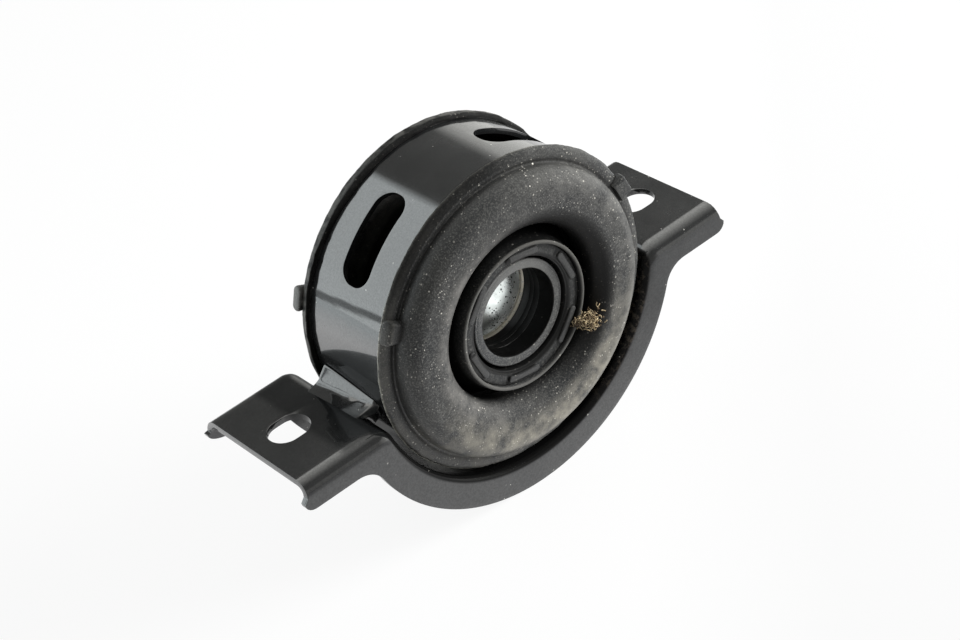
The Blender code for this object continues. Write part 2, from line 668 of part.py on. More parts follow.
def make_stiffener(end, shell_end, material):
    """Steel angle ring that backs the dust seal and grips the hub's neck."""
    outer = NECK_RADIUS - GAP
    back = SLEEVE_REACH + 2 * GAP
    inner = SEAL_INNER_RADIUS
    profile = [(outer, shell_end - GAP), (outer, back), (inner, back), (inner, back + STIFFENER_SHEET),
               (outer - STIFFENER_SHEET, back + STIFFENER_SHEET), (outer - STIFFENER_SHEET, shell_end - GAP)]
    turned("seal_stiffener_" + end, profile, material, INNER_SIDES, front=end == "front")


def make_slinger(end, material):
    """Flanged collar that turns with the shaft and throws dirt off."""
    start = BEARING_WIDTH / 2 + GAP
    tube = SLINGER_TUBE
    face = SEAL_REACH - SLINGER_RECESS
    profile = [(SLINGER_BORE + 0.0005, face), (SLINGER_BORE, face - 0.0005), (SLINGER_BORE, start),
               (tube, start), (tube, face - SLINGER_WALL), (SLINGER_RADIUS, face - SLINGER_WALL),
               (SLINGER_RADIUS, face - 0.0004), (SLINGER_RADIUS - 0.0004, face)]
    turned("slinger_" + end, profile, material, HUB_SIDES, front=end == "front")


def main():
    clear_scene()
    paint = make_material("black_paint", (0.018, 0.019, 0.020), 0.28)
    rubber = make_material("moulded_rubber", (0.045, 0.045, 0.044), 0.62)
    seal_rubber = make_material("seal_rubber", (0.060, 0.060, 0.062), 0.50)
    bead = make_material("painted_weld", (0.020, 0.021, 0.022), 0.25)
    race_steel = make_material("race_steel", (0.62, 0.62, 0.60), 0.24, 1.0)
    ball_steel = make_material("ball_steel", (0.70, 0.70, 0.70), 0.10, 1.0)
    sheet_steel = make_material("pressed_steel", (0.46, 0.46, 0.45), 0.38, 1.0)
    collar = make_material("slinger_finish", (0.070, 0.070, 0.070), 0.45)

    make_bracket(paint)
    make_ring_band(paint)
    make_weld("weld_left", -1, bead)
    make_weld("weld_right", 1, bead)
    make_cushion(rubber)
    make_sleeve(sheet_steel)
    make_races(race_steel)
    make_balls(ball_steel)
    halves = [make_cage("cage_front", 1, sheet_steel), make_cage("cage_rear", -1, sheet_steel)]
    make_rivet_holes(halves)
    make_rivets(sheet_steel)
    make_shields(sheet_steel)
    for end in ("front", "rear"):
        shell_end = make_dust_seal(end, seal_rubber)
        make_stiffener(end, shell_end, sheet_steel)
        make_slinger(end, collar)


main()
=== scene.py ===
"""Looks of the driveshaft centre bearing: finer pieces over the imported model, painted steel, dusty
rubber, bare race steel, a clump of dirt on the cushion, a pale table and soft studio light.

Positions are metres in the model's own frame. Sections of turned pieces are pairs of radius and reach
in millimetres, where reach is counted from the bearing's middle towards the front end (-Y).
"""
import math
import random

import bmesh
import bpy
from mathutils import Matrix, Vector, noise

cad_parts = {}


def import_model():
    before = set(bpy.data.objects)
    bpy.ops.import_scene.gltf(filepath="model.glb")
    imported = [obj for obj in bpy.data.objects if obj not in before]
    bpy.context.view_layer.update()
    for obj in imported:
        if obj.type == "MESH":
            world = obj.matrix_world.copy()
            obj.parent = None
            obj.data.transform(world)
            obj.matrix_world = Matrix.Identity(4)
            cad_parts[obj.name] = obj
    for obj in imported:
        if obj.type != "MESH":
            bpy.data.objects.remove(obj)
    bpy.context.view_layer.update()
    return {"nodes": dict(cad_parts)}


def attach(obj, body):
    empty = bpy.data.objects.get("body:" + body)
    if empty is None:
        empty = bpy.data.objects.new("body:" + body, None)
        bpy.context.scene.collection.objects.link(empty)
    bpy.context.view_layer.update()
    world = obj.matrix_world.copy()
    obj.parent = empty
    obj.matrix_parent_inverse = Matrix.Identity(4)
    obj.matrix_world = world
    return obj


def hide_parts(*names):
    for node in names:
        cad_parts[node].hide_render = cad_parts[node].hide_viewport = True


MM = 0.001

# Sizes in metres, those of the solids apart from the tighter bend round the saddle
AXIS_Z = 0.0716203
RING_Y = -0.001375
BRACKET_Y = 0.002875
CENTRE = Vector((0.0, RING_Y, AXIS_Z))
EAR_END = 0.0947
EAR_DROP = 0.0107
HALF_WIDTH = 0.0279
SHEET = 0.0023
SADDLE_RADIUS = 0.0600
FLANGE_RADIUS = 0.0717
EAR_BEND = 0.0075
FLANGE_FILLET = 0.0100
EAR_FLANGE = 0.0105
EDGE_BEND = 0.0052
TIGHT_BEND = 0.0027
FLARE = 0.0020
FLARE_LENGTH = 0.0120
WINDOW_ANGLES = (57.5, 130.5, 237.5, 310.5)
SLOT_X = 0.08025
SLOT_WIDTH = 0.0125
SLOT_LENGTH = 0.0155

# The band's section in millimetres. The extra rows keep its shading flat up to the softened rims.
BAND_OUTSIDE = 55.0
BAND_INSIDE = 53.0
BAND_ROWS = (20.0, 19.1, 7.6, -7.6, -19.1, -20.0)

# Weld beads: where they start behind the ring's middle, and how long they are
WELD_BACK = 0.0168
WELD_LENGTH = 0.0280

# Moulded tabs: name, angle, whether at the rear, crown radius in millimetres, and slope of the crown
TABS = (("tab_front_left", 156.0, False, 58.05, 0.42), ("tab_rear_left", 161.0, True, 58.4, 0.0),
        ("tab_front_right", 22.0, False, 59.2, 0.0), ("tab_rear_right", 18.0, True, 58.4, 0.0))
TAB_RING = 57.0

# Raised pads on the dust seals
PADS = 6
PAD_RING = 23.4

# The clump of dirt
FIBRES = 230
CRUMBS = 260

# The surroundings: a level direction away from the photo's viewpoint, and brightnesses
AWAY = (0.60, 0.80, 0.0)
WALL = 2.1
STRIP = 1.15
OVERHEAD = 1.7
CEILING = 0.20

# The dark line at the wall's foot: where it crosses, how it leans, how wide it is and what light it leaves
LINE_TURN = 2.355
LINE_LEAN = 2.6
LINE_SPAN = (-0.098, -0.034)
LINE_LEVEL = 0.12

TURN_STEPS = 224
NOISE_SEED = 11

# Colours that repeat
BLACK = (0.004, 0.004, 0.004, 1)
PITCH = (0.002, 0.002, 0.002, 1)
WHITE = (1.0, 1.0, 1.0, 1)

# Mesh helpers

def show(bm, name, material, body, sharp=40):
    """Makes a finished bmesh a smooth-shaded piece that rides on a body."""
    mesh = bpy.data.meshes.new(name)
    bm.to_mesh(mesh)
    bm.free()
    mesh.shade_smooth()
    mesh.set_sharp_from_angle(angle=math.radians(sharp))
    mesh.materials.append(material)
    piece = bpy.data.objects.new(name, mesh)
    bpy.context.collection.objects.link(piece)
    if body:
        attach(piece, body)
    return piece


def settle(piece, sharp=40):
    """Applies the piece's modifiers to its mesh."""
    graph = bpy.context.evaluated_depsgraph_get()
    mesh = bpy.data.meshes.new_from_object(piece.evaluated_get(graph))
    piece.modifiers.clear()
    piece.data = mesh
    mesh.shade_smooth()
    mesh.set_sharp_from_angle(angle=math.radians(sharp))


def soften(piece, width, segments=3, angle=35):
    """Rounds the piece's sharp edges."""
    bevel = piece.modifiers.new("soft_edges", 'BEVEL')
    bevel.width = width
    bevel.segments = segments
    bevel.limit_method = 'ANGLE'
    bevel.angle_limit = math.radians(angle)
    bevel.harden_normals = False


def cut(piece, cutters):
    """Cuts closed cutters out of a piece and removes them."""
    tools = []
    for number, bm in enumerate(cutters):
        mesh = bpy.data.meshes.new("cutter")
        bmesh.ops.recalc_face_normals(bm, faces=bm.faces)
        bm.to_mesh(mesh)
        bm.free()
        tool = bpy.data.objects.new("cutter_%d" % number, mesh)
        bpy.context.collection.objects.link(tool)
        modifier = piece.modifiers.new("cut_%d" % number, 'BOOLEAN')
        modifier.operation = 'DIFFERENCE'
        modifier.solver = 'EXACT'
        modifier.object = tool
        tools.append(tool)
    settle(piece)
    for tool in tools:
        bpy.data.objects.remove(tool, do_unlink=True)


def lift_copy(bm, depth):
    """Makes a flat face a prism."""
    moved = bmesh.ops.extrude_face_region(bm, geom=bm.faces[:])["geom"]
    raised = [item for item in moved if isinstance(item, bmesh.types.BMVert)]
    bmesh.ops.translate(bm, vec=(0, 0, depth), verts=raised)


def bridge(bm, loops, capped=False):
    """Joins closed loops of vertices, and closes the two ends where wanted."""
    for near, far in zip(loops, loops[1:]):
        for k in range(len(near)):
            bm.faces.new((near[k - 1], near[k], far[k], far[k - 1]))
    if capped:
        for loop in (loops[0], loops[-1]):
            bm.faces.new(loop)


def arc(centre, radius, start, end, steps):
    """Section points on an arc, in millimetres and degrees from the radial direction."""
    turn = [math.radians(start + (end - start) * k / steps) for k in range(steps + 1)]
    return [(centre[0] + radius * math.cos(a), centre[1] + radius * math.sin(a)) for a in turn]


def eased(points, steps=5):
    """A smooth line through section points."""
    line = []
    for k in range(len(points) - 1):
        a, b = points[max(k - 1, 0)], points[k]
        c, d = points[k + 1], points[min(k + 2, len(points) - 1)]
        for s in range(steps):
            t = s / steps
            line.append(tuple(0.5 * (
                2 * b[i] + (c[i] - a[i]) * t + (2 * a[i] - 5 * b[i] + 4 * c[i] - d[i]) * t * t
                + (3 * b[i] - a[i] - 3 * c[i] + d[i]) * t ** 3) for i in (0, 1)))
    return line + [points[-1]]


def flipped(section):
    return [(radius, -reach) for radius, reach in reversed(section)]


def spun(section, steps=TURN_STEPS, rear=False):
    """Spins a closed section about the shaft axis."""
    bm = bmesh.new()
    side = 1 if rear else -1
    verts = [bm.verts.new((radius * MM, side * reach * MM, 0)) for radius, reach in section]
    edges = [bm.edges.new((verts[k - 1], verts[k])) for k in range(len(verts))]
    bmesh.ops.spin(bm, geom=verts + edges, cent=(0, 0, 0), axis=(0, 1, 0), dvec=(0, 0, 0),
                   angle=2 * math.pi, steps=steps, use_merge=True, use_duplicate=False)
    bmesh.ops.translate(bm, vec=CENTRE, verts=bm.verts)
    bmesh.ops.recalc_face_normals(bm, faces=bm.faces)
    return bm


def roughen(bm, amount, size, wanted, seed=0.0):
    """Moves the wanted vertices a little, as on hand-trimmed rubber."""
    for vert in bm.verts:
        share = wanted(vert.co)
        if share > 0:
            spot = vert.co / size + Vector((seed, seed, seed))
            vert.co += noise.noise_vector(spot) * amount * share


def radius_of(co):
    return math.hypot(co.x, co.z - AXIS_Z)


def reach_of(co):
    return RING_Y - co.y


# Shader helpers

def new_group(name, inputs, outputs):
    group = bpy.data.node_groups.new(name, 'ShaderNodeTree')
    for label, kind, value in inputs:
        socket = group.interface.new_socket(name=label, in_out='INPUT', socket_type=kind)
        socket.default_value = value
    for label, kind in outputs:
        group.interface.new_socket(name=label, in_out='OUTPUT', socket_type=kind)
    return group, group.nodes.new("NodeGroupInput"), group.nodes.new("NodeGroupOutput")


def link(tree, source, target):
    tree.links.new(source, target)


def place(tree, kind, **settings):
    node = tree.nodes.new(kind)
    for label, value in settings.items():
        setattr(node, label, value)
    return node


def math_node(tree, operation, a, b=None, clamp=False):
    node = place(tree, "ShaderNodeMath", operation=operation, use_clamp=clamp)
    for slot, value in ((0, a), (1, b)):
        if value is None:
            continue
        if isinstance(value, (int, float)):
            node.inputs[slot].default_value = value
        else:
            link(tree, value, node.inputs[slot])
    return node.outputs[0]


def ramp(tree, source, low, high, start=0.0, end=1.0):
    """Maps low..high of a value to start..end."""
    node = place(tree, "ShaderNodeMapRange", clamp=True)
    link(tree, source, node.inputs["Value"])
    for label, value in (("From Min", low), ("From Max", high), ("To Min", start), ("To Max", end)):
        if isinstance(value, (int, float)):
            node.inputs[label].default_value = value
        else:
            link(tree, value, node.inputs[label])
    return node.outputs["Result"]


def noise_value(tree, place_socket, scale, detail=3.0, rough=0.5):
    node = place(tree, "ShaderNodeTexNoise")
    node.inputs["Scale"].default_value = scale
    node.inputs["Detail"].default_value = detail
    node.inputs["Roughness"].default_value = rough
    link(tree, place_socket, node.inputs["Vector"])
    return node.outputs["Fac"]


def mix_colour(tree, factor, a, b):
    node = place(tree, "ShaderNodeMix", data_type='RGBA')
    for socket, value in ((node.inputs[0], factor), (node.inputs[6], a), (node.inputs[7], b)):
        if isinstance(value, tuple):
            socket.default_value = value
        elif isinstance(value, float):
            socket.default_value = value
        else:
            link(tree, value, socket)
    return node.outputs[2]


def make_place_group():
    """Where a point lies round the shaft axis, in millimetres: radius, reach towards the front, and how
    far it points right and up from the axis, from -1 to 1."""
    group, inside, outside = new_group(
        "ring_place", (("Vector", 'NodeSocketVector', (0, 0, 0)),),
        (("Radius", 'NodeSocketFloat'), ("Reach", 'NodeSocketFloat'), ("Right", 'NodeSocketFloat'),
         ("Up", 'NodeSocketFloat')))
    parts = place(group, "ShaderNodeSeparateXYZ")
    link(group, inside.outputs["Vector"], parts.inputs[0])
    x = math_node(group, 'MULTIPLY', parts.outputs["X"], 1000.0)
    z = math_node(group, 'MULTIPLY', math_node(group, 'SUBTRACT', parts.outputs["Z"], AXIS_Z), 1000.0)
    squares = math_node(group, 'ADD', math_node(group, 'MULTIPLY', x, x), math_node(group, 'MULTIPLY', z, z))
    radius = math_node(group, 'SQRT', squares)
    link(group, radius, outside.inputs["Radius"])
    reach = math_node(group, 'MULTIPLY', math_node(group, 'SUBTRACT', RING_Y, parts.outputs["Y"]), 1000.0)
    link(group, reach, outside.inputs["Reach"])
    link(group, math_node(group, 'DIVIDE', x, radius), outside.inputs["Right"])
    link(group, math_node(group, 'DIVIDE', z, radius), outside.inputs["Up"])
    return group


def make_speck_group():
    """Scattered dust specks: a mask of small uneven dots, some cells empty."""
    group, inside, outside = new_group(
        "dust_specks",
        (("Vector", 'NodeSocketVector', (0, 0, 0)), ("Scale", 'NodeSocketFloat', 400.0),
         ("Amount", 'NodeSocketFloat', 0.3), ("Size", 'NodeSocketFloat', 0.2)),
        (("Mask", 'NodeSocketFloat'),))
    cells = place(group, "ShaderNodeTexVoronoi", feature='F1')
    link(group, inside.outputs["Vector"], cells.inputs["Vector"])
    link(group, inside.outputs["Scale"], cells.inputs["Scale"])
    split = place(group, "ShaderNodeSeparateColor")
    link(group, cells.outputs["Color"], split.inputs[0])
    chosen = math_node(group, 'LESS_THAN', split.outputs[0], inside.outputs["Amount"])
    uneven = math_node(group, 'ADD', split.outputs[1], 0.35)
    size = math_node(group, 'MULTIPLY', inside.outputs["Size"], uneven)
    inner = math_node(group, 'MULTIPLY', size, 0.5)
    dot = ramp(group, cells.outputs["Distance"], inner, size, 1.0, 0.0)
    level = math_node(group, 'MULTIPLY', math_node(group, 'MULTIPLY', chosen, dot), split.outputs[2])
    link(group, level, outside.inputs["Mask"])
    return group


def make_mottle_group():
    """Cloudy patches on two scales."""
    group, inside, outside = new_group(
        "mottle",
        (("Vector", 'NodeSocketVector', (0, 0, 0)), ("Patch", 'NodeSocketFloat', 60.0),
         ("Grain", 'NodeSocketFloat', 900.0)),
        (("Patches", 'NodeSocketFloat'), ("Grains", 'NodeSocketFloat')))
    for label, output, detail in (("Patch", "Patches", 5.0), ("Grain", "Grains", 3.0)):
        cloud = place(group, "ShaderNodeTexNoise")
        cloud.inputs["Detail"].default_value = detail
        cloud.inputs["Roughness"].default_value = 0.6
        link(group, inside.outputs["Vector"], cloud.inputs["Vector"])
        link(group, inside.outputs[label], cloud.inputs["Scale"])
        link(group, cloud.outputs["Fac"], outside.inputs[output])
    return group


def use_group(tree, group, vector, **values):
    node = place(tree, "ShaderNodeGroup", node_tree=group)
    link(tree, vector, node.inputs["Vector"])
    for label, value in values.items():
        node.inputs[label].default_value = value
    return node


def start_material(name, roughness, metallic=0.0, **plain):
    material = bpy.data.materials.new(name)
    material.use_nodes = True
    tree = material.node_tree
    shader = tree.nodes["Principled BSDF"]
    shader.inputs["Roughness"].default_value = roughness
    shader.inputs["Metallic"].default_value = metallic
    for label, value in plain.items():
        shader.inputs[label.replace("_", " ")].default_value = value
    spot = place(tree, "ShaderNodeTexCoord").outputs["Object"]
    return material, tree, shader, spot


def add_bump(tree, shader, height, distance):
    bump = place(tree, "ShaderNodeBump")
    bump.inputs["Distance"].default_value = distance
    bump.inputs["Strength"].default_value = 1.0
    link(tree, height, bump.inputs["Height"])
    link(tree, bump.outputs["Normal"], shader.inputs["Normal"])


def product(tree, *factors):
    """Multiplies masks."""
    value = factors[0]
    for factor in factors[1:]:
        value = math_node(tree, 'MULTIPLY', value, factor)
    return value


def facing(tree, spot, degrees, narrow, wide):
    """A mask that is 1 round one direction from the axis and fades out towards the sides."""
    a = math.radians(degrees)
    turned = math_node(tree, 'ADD', math_node(tree, 'MULTIPLY', spot.outputs["Right"], math.cos(a)),
                       math_node(tree, 'MULTIPLY', spot.outputs["Up"], math.sin(a)))
    return ramp(tree, turned, math.cos(math.radians(wide)), math.cos(math.radians(narrow)))


def between(tree, value, low, high, soft):
    """A mask that is 1 where a value lies between two limits."""
    return product(tree, ramp(tree, value, low - soft, low + soft),
                   ramp(tree, value, high - soft, high + soft, 1.0, 0.0))


def fade(tree, mask, end, start=1.0):
    """Gives start where a mask is 0, and end where it is 1."""
    return ramp(tree, mask, 0.0, 1.0, start, end)


def patchy(tree, spot, scale, detail, rough, low, high):
    """A mask of noise patches."""
    return ramp(tree, noise_value(tree, spot, scale, detail, rough), low, high)


def tinted(tree, body, mask, share, colour):
    """Lays a colour over a body colour through a share of a mask."""
    return mix_colour(tree, math_node(tree, 'MULTIPLY', mask, share), body, colour)


def most(tree, first, *others):
    """The highest of several masks."""
    for other in others:
        first = math_node(tree, 'MAXIMUM', first, other)
    return first


def round_axis(tree, spot):
    """Where the shaded point lies round the shaft axis."""
    return use_group(tree, bpy.data.node_groups["ring_place"], spot)


def towards(tree, spot, direction):
    """How far a place or direction lies along a direction."""
    node = place(tree, "ShaderNodeVectorMath", operation='DOT_PRODUCT')
    link(tree, spot, node.inputs[0])
    node.inputs[1].default_value = direction
    return node.outputs["Value"]


def split_place(tree, spot):
    node = place(tree, "ShaderNodeSeparateXYZ")
    link(tree, spot, node.inputs[0])
    return node.outputs


def make_paint(name, specks, mottle, gap=False):
    """Gloss black paint over pressed steel: slight orange peel, haze and dust specks. gap paints shade on the
    saddle's inside, which faces the ring: near black, without gloss and with some dust. It also paints shade
    beside the left weld as a duller coat on the ear. In what other surfaces mirror, the gloss is nearly off."""
    material, tree, shader, spot = start_material(
        name, 0.2, IOR=1.5, Specular_IOR_Level=0.25, Coat_Roughness=0.03, Coat_IOR=1.95)
    clouds = use_group(tree, mottle, spot, Patch=70.0, Grain=700.0)
    dots = use_group(tree, specks, spot, Scale=520.0, Amount=0.10, Size=0.16)
    haze = ramp(tree, clouds.outputs["Patches"], 0.35, 0.7, 0.0, 0.016)
    body = mix_colour(tree, haze, (0.008, 0.0085, 0.009, 1), (0.30, 0.30, 0.29, 1))
    colour = mix_colour(tree, dots.outputs["Mask"], body, (0.42, 0.41, 0.38, 1))
    if not gap:
        link(tree, colour, shader.inputs["Base Color"])
    link(tree, ramp(tree, clouds.outputs["Patches"], 0.3, 0.7, 0.16, 0.30), shader.inputs["Roughness"])
    wave = noise_value(tree, spot, 160.0, 2.0)
    height = math_node(tree, 'ADD', wave, math_node(tree, 'MULTIPLY', clouds.outputs["Grains"], 0.12))
    add_bump(tree, shader, height, 0.00006)
    fine = ramp(tree, noise_value(tree, spot, 1500.0, 4.0, 0.7), 0.35, 0.65, 0.66 if gap else 0.80, 1.04)
    mirrored = place(tree, "ShaderNodeLightPath").outputs["Is Glossy Ray"]
    gloss = product(tree, fine, fade(tree, mirrored, 0.06))
    if gap:
        ring = round_axis(tree, spot)
        # Painted shade: the saddle's inside, which faces the ring, goes near black and loses its gloss;
        # open_side is 1 outside it
        open_side = ramp(tree, ring.outputs["Radius"], 61.6, 62.4)
        parts = split_place(tree, spot)
        # Painted shade: a duller coat on the ear beside the left weld
        painted_weld_shade = product(tree, between(tree, parts["X"], -0.0765, -0.050, 0.0015),
                          ramp(tree, parts["Z"], AXIS_Z - 0.036, AXIS_Z - 0.032),
                          ramp(tree, parts["Y"], -0.0226, -0.0208))
        gloss = product(tree, gloss, open_side, fade(tree, painted_weld_shade, 0.25))
        dusty = product(tree, facing(tree, ring, -18, 22, 50), patchy(tree, spot, 420.0, 5.0, 0.7, 0.5, 0.62))
        # The near-black base is painted shade; the brownish patches and the specks are dust
        dark = mix_colour(tree, dusty, (0.003, 0.003, 0.003, 1), (0.045, 0.038, 0.030, 1))
        dark = mix_colour(tree, dots.outputs["Mask"], dark, (0.25, 0.24, 0.22, 1))
        link(tree, mix_colour(tree, open_side, dark, colour), shader.inputs["Base Color"])
    link(tree, gloss, shader.inputs["Coat Weight"])
    return material


def make_rubber(name, specks, mottle, dark, light, roughness, dots, grain, worn_with_painted_light=False, tube=False,
                notches=False):
    """Satin moulded rubber with bloom, fine grain and pale dust. worn adds the cushion's dust and wear,
    lighter patches on the bulge's faces turned to the light that are partly dust and partly painted light,
    and painted shade in its hollows, round the hub, in its groove and on its lips. tube paints shade inside a
    collar, with painted glints on its ridges and painted light on the top of its face, and notches lightens a
    seal's pads, darkens its inner ring and marks four nicks."""
    material, tree, shader, spot = start_material(
        name, roughness, IOR=1.5, Specular_IOR_Level=0.12, Coat_Weight=0.9, Coat_Roughness=roughness,
        Coat_IOR=1.5)
    clouds = use_group(tree, mottle, spot, Patch=55.0, Grain=1800.0)
    fine = use_group(tree, specks, spot, Scale=1250.0, Amount=dots, Size=0.36)
    coarse = use_group(tree, specks, spot, Scale=520.0, Amount=dots * 0.25, Size=0.18)
    patch = ramp(tree, clouds.outputs["Patches"], 0.36, 0.66)
    body = mix_colour(tree, patch, (dark * 0.92, dark, dark * 1.10, 1), (light, light, light * 0.97, 1))
    grains = ramp(tree, clouds.outputs["Grains"], 0.46, 0.68, 0.0, 0.9)
    body = mix_colour(tree, grains, body, (light * 3.0, light * 3.0, light * 2.85, 1))
    flocks = ramp(tree, noise_value(tree, spot, 160.0, 4.0, 0.6), 0.46, 0.60, 0.12, 1.0)
    mask = most(tree, product(tree, fine.outputs["Mask"], flocks, 0.7), coarse.outputs["Mask"])
    if worn_with_painted_light:
        ring = round_axis(tree, spot)
        radius, reach = ring.outputs["Radius"], ring.outputs["Reach"]
        cloudy = patchy(tree, spot, 150.0, 6.0, 0.65, 0.35, 0.65)
        # throat, foot and side lighten the bulge where it faces the light: partly dust, partly painted light
        throat_dust_and_light = product(tree, between(tree, radius, 32.6, 40.0, 1.8), facing(tree, ring, 168, 45, 110),
                         cloudy)
        foot = product(tree, between(tree, radius, 39.0, 53.0, 3.0), facing(tree, ring, -85, 30, 85), cloudy)
        side = product(tree, between(tree, radius, 42.0, 54.0, 3.0), facing(tree, ring, 20, 30, 80), cloudy)
        # upper darkens the upper left of the lips as a painted reflection
        upper = product(tree, ramp(tree, radius, 54.2, 55.0), facing(tree, ring, 116, 22, 44), 0.8)
        lip = product(tree, ramp(tree, radius, 54.6, 55.6), ramp(tree, reach, 18.0, 19.0), cloudy,
                      facing(tree, ring, 195, 45, 115))
        body = tinted(tree, body, lip, 0.55, (0.120, 0.115, 0.100, 1))
        edge = product(tree, between(tree, reach, 19.2, 20.6, 0.25), ramp(tree, radius, 57.2, 57.6),
                       patchy(tree, spot, 600.0, 4.0, 0.7, 0.38, 0.54), facing(tree, ring, 175, 60, 120))
        body = mix_colour(tree, edge, body, (0.32, 0.31, 0.27, 1))
        # Painted shade in the groove between the lips and the bulges
        body = tinted(tree, body, between(tree, radius, 51.6, 54.2, 0.5), 0.5, (0.006, 0.006, 0.006, 1))
        body = tinted(tree, body, throat_dust_and_light, 0.85, (0.140, 0.135, 0.126, 1))
        body = tinted(tree, body, foot, 0.95, (0.240, 0.225, 0.185, 1))
        body = tinted(tree, body, side, 0.55, (0.130, 0.128, 0.120, 1))
        # Painted shade: lee beside the hub, shade on the hub's outside, well round the hub and back_lip on
        # the rear lip
        lee = product(tree, ramp(tree, radius, 35.5, 39.5, 1.0, 0.0), facing(tree, ring, 20, 50, 95))
        body = tinted(tree, body, lee, 0.85, BLACK)
        shade = product(tree, ramp(tree, radius, 31.0, 33.4, 1.0, 0.0),
                        ramp(tree, reach, 22.0, 26.4, 1.0, 0.0))
        depth = math_node(tree, 'ABSOLUTE', reach)
        well = product(tree, ramp(tree, depth, 15.0, 17.5, 1.0, 0.0),
                       ramp(tree, radius, 39.0, 41.0, 1.0, 0.0))
        back_lip = product(tree, between(tree, reach, -20.9, -16.0, 0.25), ramp(tree, radius, 54.6, 55.4),
                           0.85)
        # All painted shade is gathered here and made black, without gloss or dust specks
        painted_hollow_shade = most(tree, shade, most(tree, well, back_lip, upper))
        painted_hollow_shade = math_node(tree, 'MAXIMUM', painted_hollow_shade, math_node(tree, 'MULTIPLY', lee, 0.7), True)
        body = mix_colour(tree, painted_hollow_shade, body, BLACK)
        hub_rim = product(tree, between(tree, radius, 25.6, 27.1, 0.12), ramp(tree, reach, 26.0, 26.4))
        lip_rim = product(tree, ramp(tree, radius, 56.55, 56.85), ramp(tree, reach, -18.2, -19.2),
                          patchy(tree, spot, 260.0, 3.0, 0.5, 0.40, 0.55))
        body = tinted(tree, body, most(tree, hub_rim, lip_rim), 0.7, (0.110, 0.108, 0.100, 1))
        mask = math_node(tree, 'MULTIPLY', mask, fade(tree, painted_hollow_shade, 0.08))
        link(tree, fade(tree, painted_hollow_shade, 0.06, 0.9), shader.inputs["Coat Weight"])
    if notches:
        ring = round_axis(tree, spot)
        radius, reach = ring.outputs["Radius"], ring.outputs["Reach"]
        raised = ramp(tree, reach, 25.2, 25.6, 0.0, 0.45)
        body = mix_colour(tree, raised, body, (light * 2.2, light * 2.2, light * 2.2, 1))
        body = mix_colour(tree, ramp(tree, radius, 21.8, 22.3, 0.85, 0.0), body, PITCH)
        row = between(tree, radius, 22.0, 24.9, 0.3)
        for degrees in (40.0, 94.5, -117.5, -174.0):
            nick = product(tree, row, facing(tree, ring, degrees, 0.9, 1.9), 0.95)
            body = mix_colour(tree, nick, body, (0.001, 0.001, 0.001, 1))
    if tube:
        ring = round_axis(tree, spot)
        radius, reach = ring.outputs["Radius"], ring.outputs["Reach"]
        # Painted shade: the inside of the collar goes near black
        inside = ramp(tree, radius, 15.95, 16.25, 1.0, 0.0)
        # Painted light: the top of the collar's face is lighter
        face = product(tree, ramp(tree, reach, 22.0, 22.8), facing(tree, ring, 80, 25, 85), 0.6)
        body = mix_colour(tree, face, body, (light * 2.8, light * 2.8, light * 2.7, 1))
        body = mix_colour(tree, inside, body, PITCH)
        # Painted glints on two ridges in the lower part of the collar's inside
        ridge_glints = most(tree, between(tree, reach, 13.36, 13.44, 0.05),
                      between(tree, reach, 16.16, 16.24, 0.05))
        ridge_glints = product(tree, ridge_glints, inside, facing(tree, ring, -85, 8, 40),
                         patchy(tree, spot, 300.0, 3.0, 0.5, 0.40, 0.60))
        body = mix_colour(tree, ridge_glints, body, (0.45, 0.44, 0.42, 1))
        mask = math_node(tree, 'MULTIPLY', mask, fade(tree, inside, 0.05))
        link(tree, fade(tree, inside, 0.02, 0.9), shader.inputs["Coat Weight"])
    colour = mix_colour(tree, mask, body, (0.80, 0.77, 0.69, 1))
    link(tree, colour, shader.inputs["Base Color"])
    link(tree, ramp(tree, clouds.outputs["Patches"], 0.3, 0.7, roughness - 0.08, roughness + 0.08),
         shader.inputs["Roughness"])
    height = math_node(tree, 'ADD', clouds.outputs["Grains"], math_node(tree, 'MULTIPLY', mask, 1.5))
    add_bump(tree, shader, height, grain)
    return material


def make_steel(name, colour, roughness, mottle, pits=0.0):
    """Bare ground steel. pits adds dark pits and a dull, pale chamfer to the race; the chamfer's near-white
    colour is partly a painted highlight.
    """
    material, tree, shader, spot = start_material(name, roughness, 1.0)
    clouds = use_group(tree, mottle, spot, Patch=180.0, Grain=1400.0)
    dull = ramp(tree, clouds.outputs["Patches"], 0.35, 0.7)
    darker = tuple(c * 0.72 for c in colour) + (1,)
    body = mix_colour(tree, dull, colour + (1,), darker)
    if pits:
        specks = bpy.data.node_groups["dust_specks"]
        spots = use_group(tree, specks, spot, Scale=1250.0, Amount=pits, Size=0.42)
        body = mix_colour(tree, ramp(tree, spots.outputs["Mask"], 0.02, 0.25), body, (0.02, 0.02, 0.018, 1))
        ring = round_axis(tree, spot)
        # The chamfer is pale ground steel, made near white as a painted highlight
        edge = product(tree, between(tree, ring.outputs["Reach"], 6.8, 8.1, 0.12),
                       patchy(tree, spot, 420.0, 4.0, 0.7, 0.36, 0.52))
        body = mix_colour(tree, edge, body, (1.0, 0.94, 0.80, 1))
        dull = most(tree, dull, math_node(tree, 'MULTIPLY', edge, 1.6))
    link(tree, body, shader.inputs["Base Color"])
    link(tree, ramp(tree, dull, 0.0, 2.5, roughness - 0.05, roughness + 0.25), shader.inputs["Roughness"])
    add_bump(tree, shader, clouds.outputs["Grains"], 0.00001)
    return material


def make_dirt(name, dark, light):
    material, tree, shader, spot = start_material(name, 0.85)
    shade = patchy(tree, spot, 900.0, 4.0, 0.7, 0.35, 0.65)
    link(tree, mix_colour(tree, shade, dark + (1,), light + (1,)), shader.inputs["Base Color"])
    return material


# Bracket

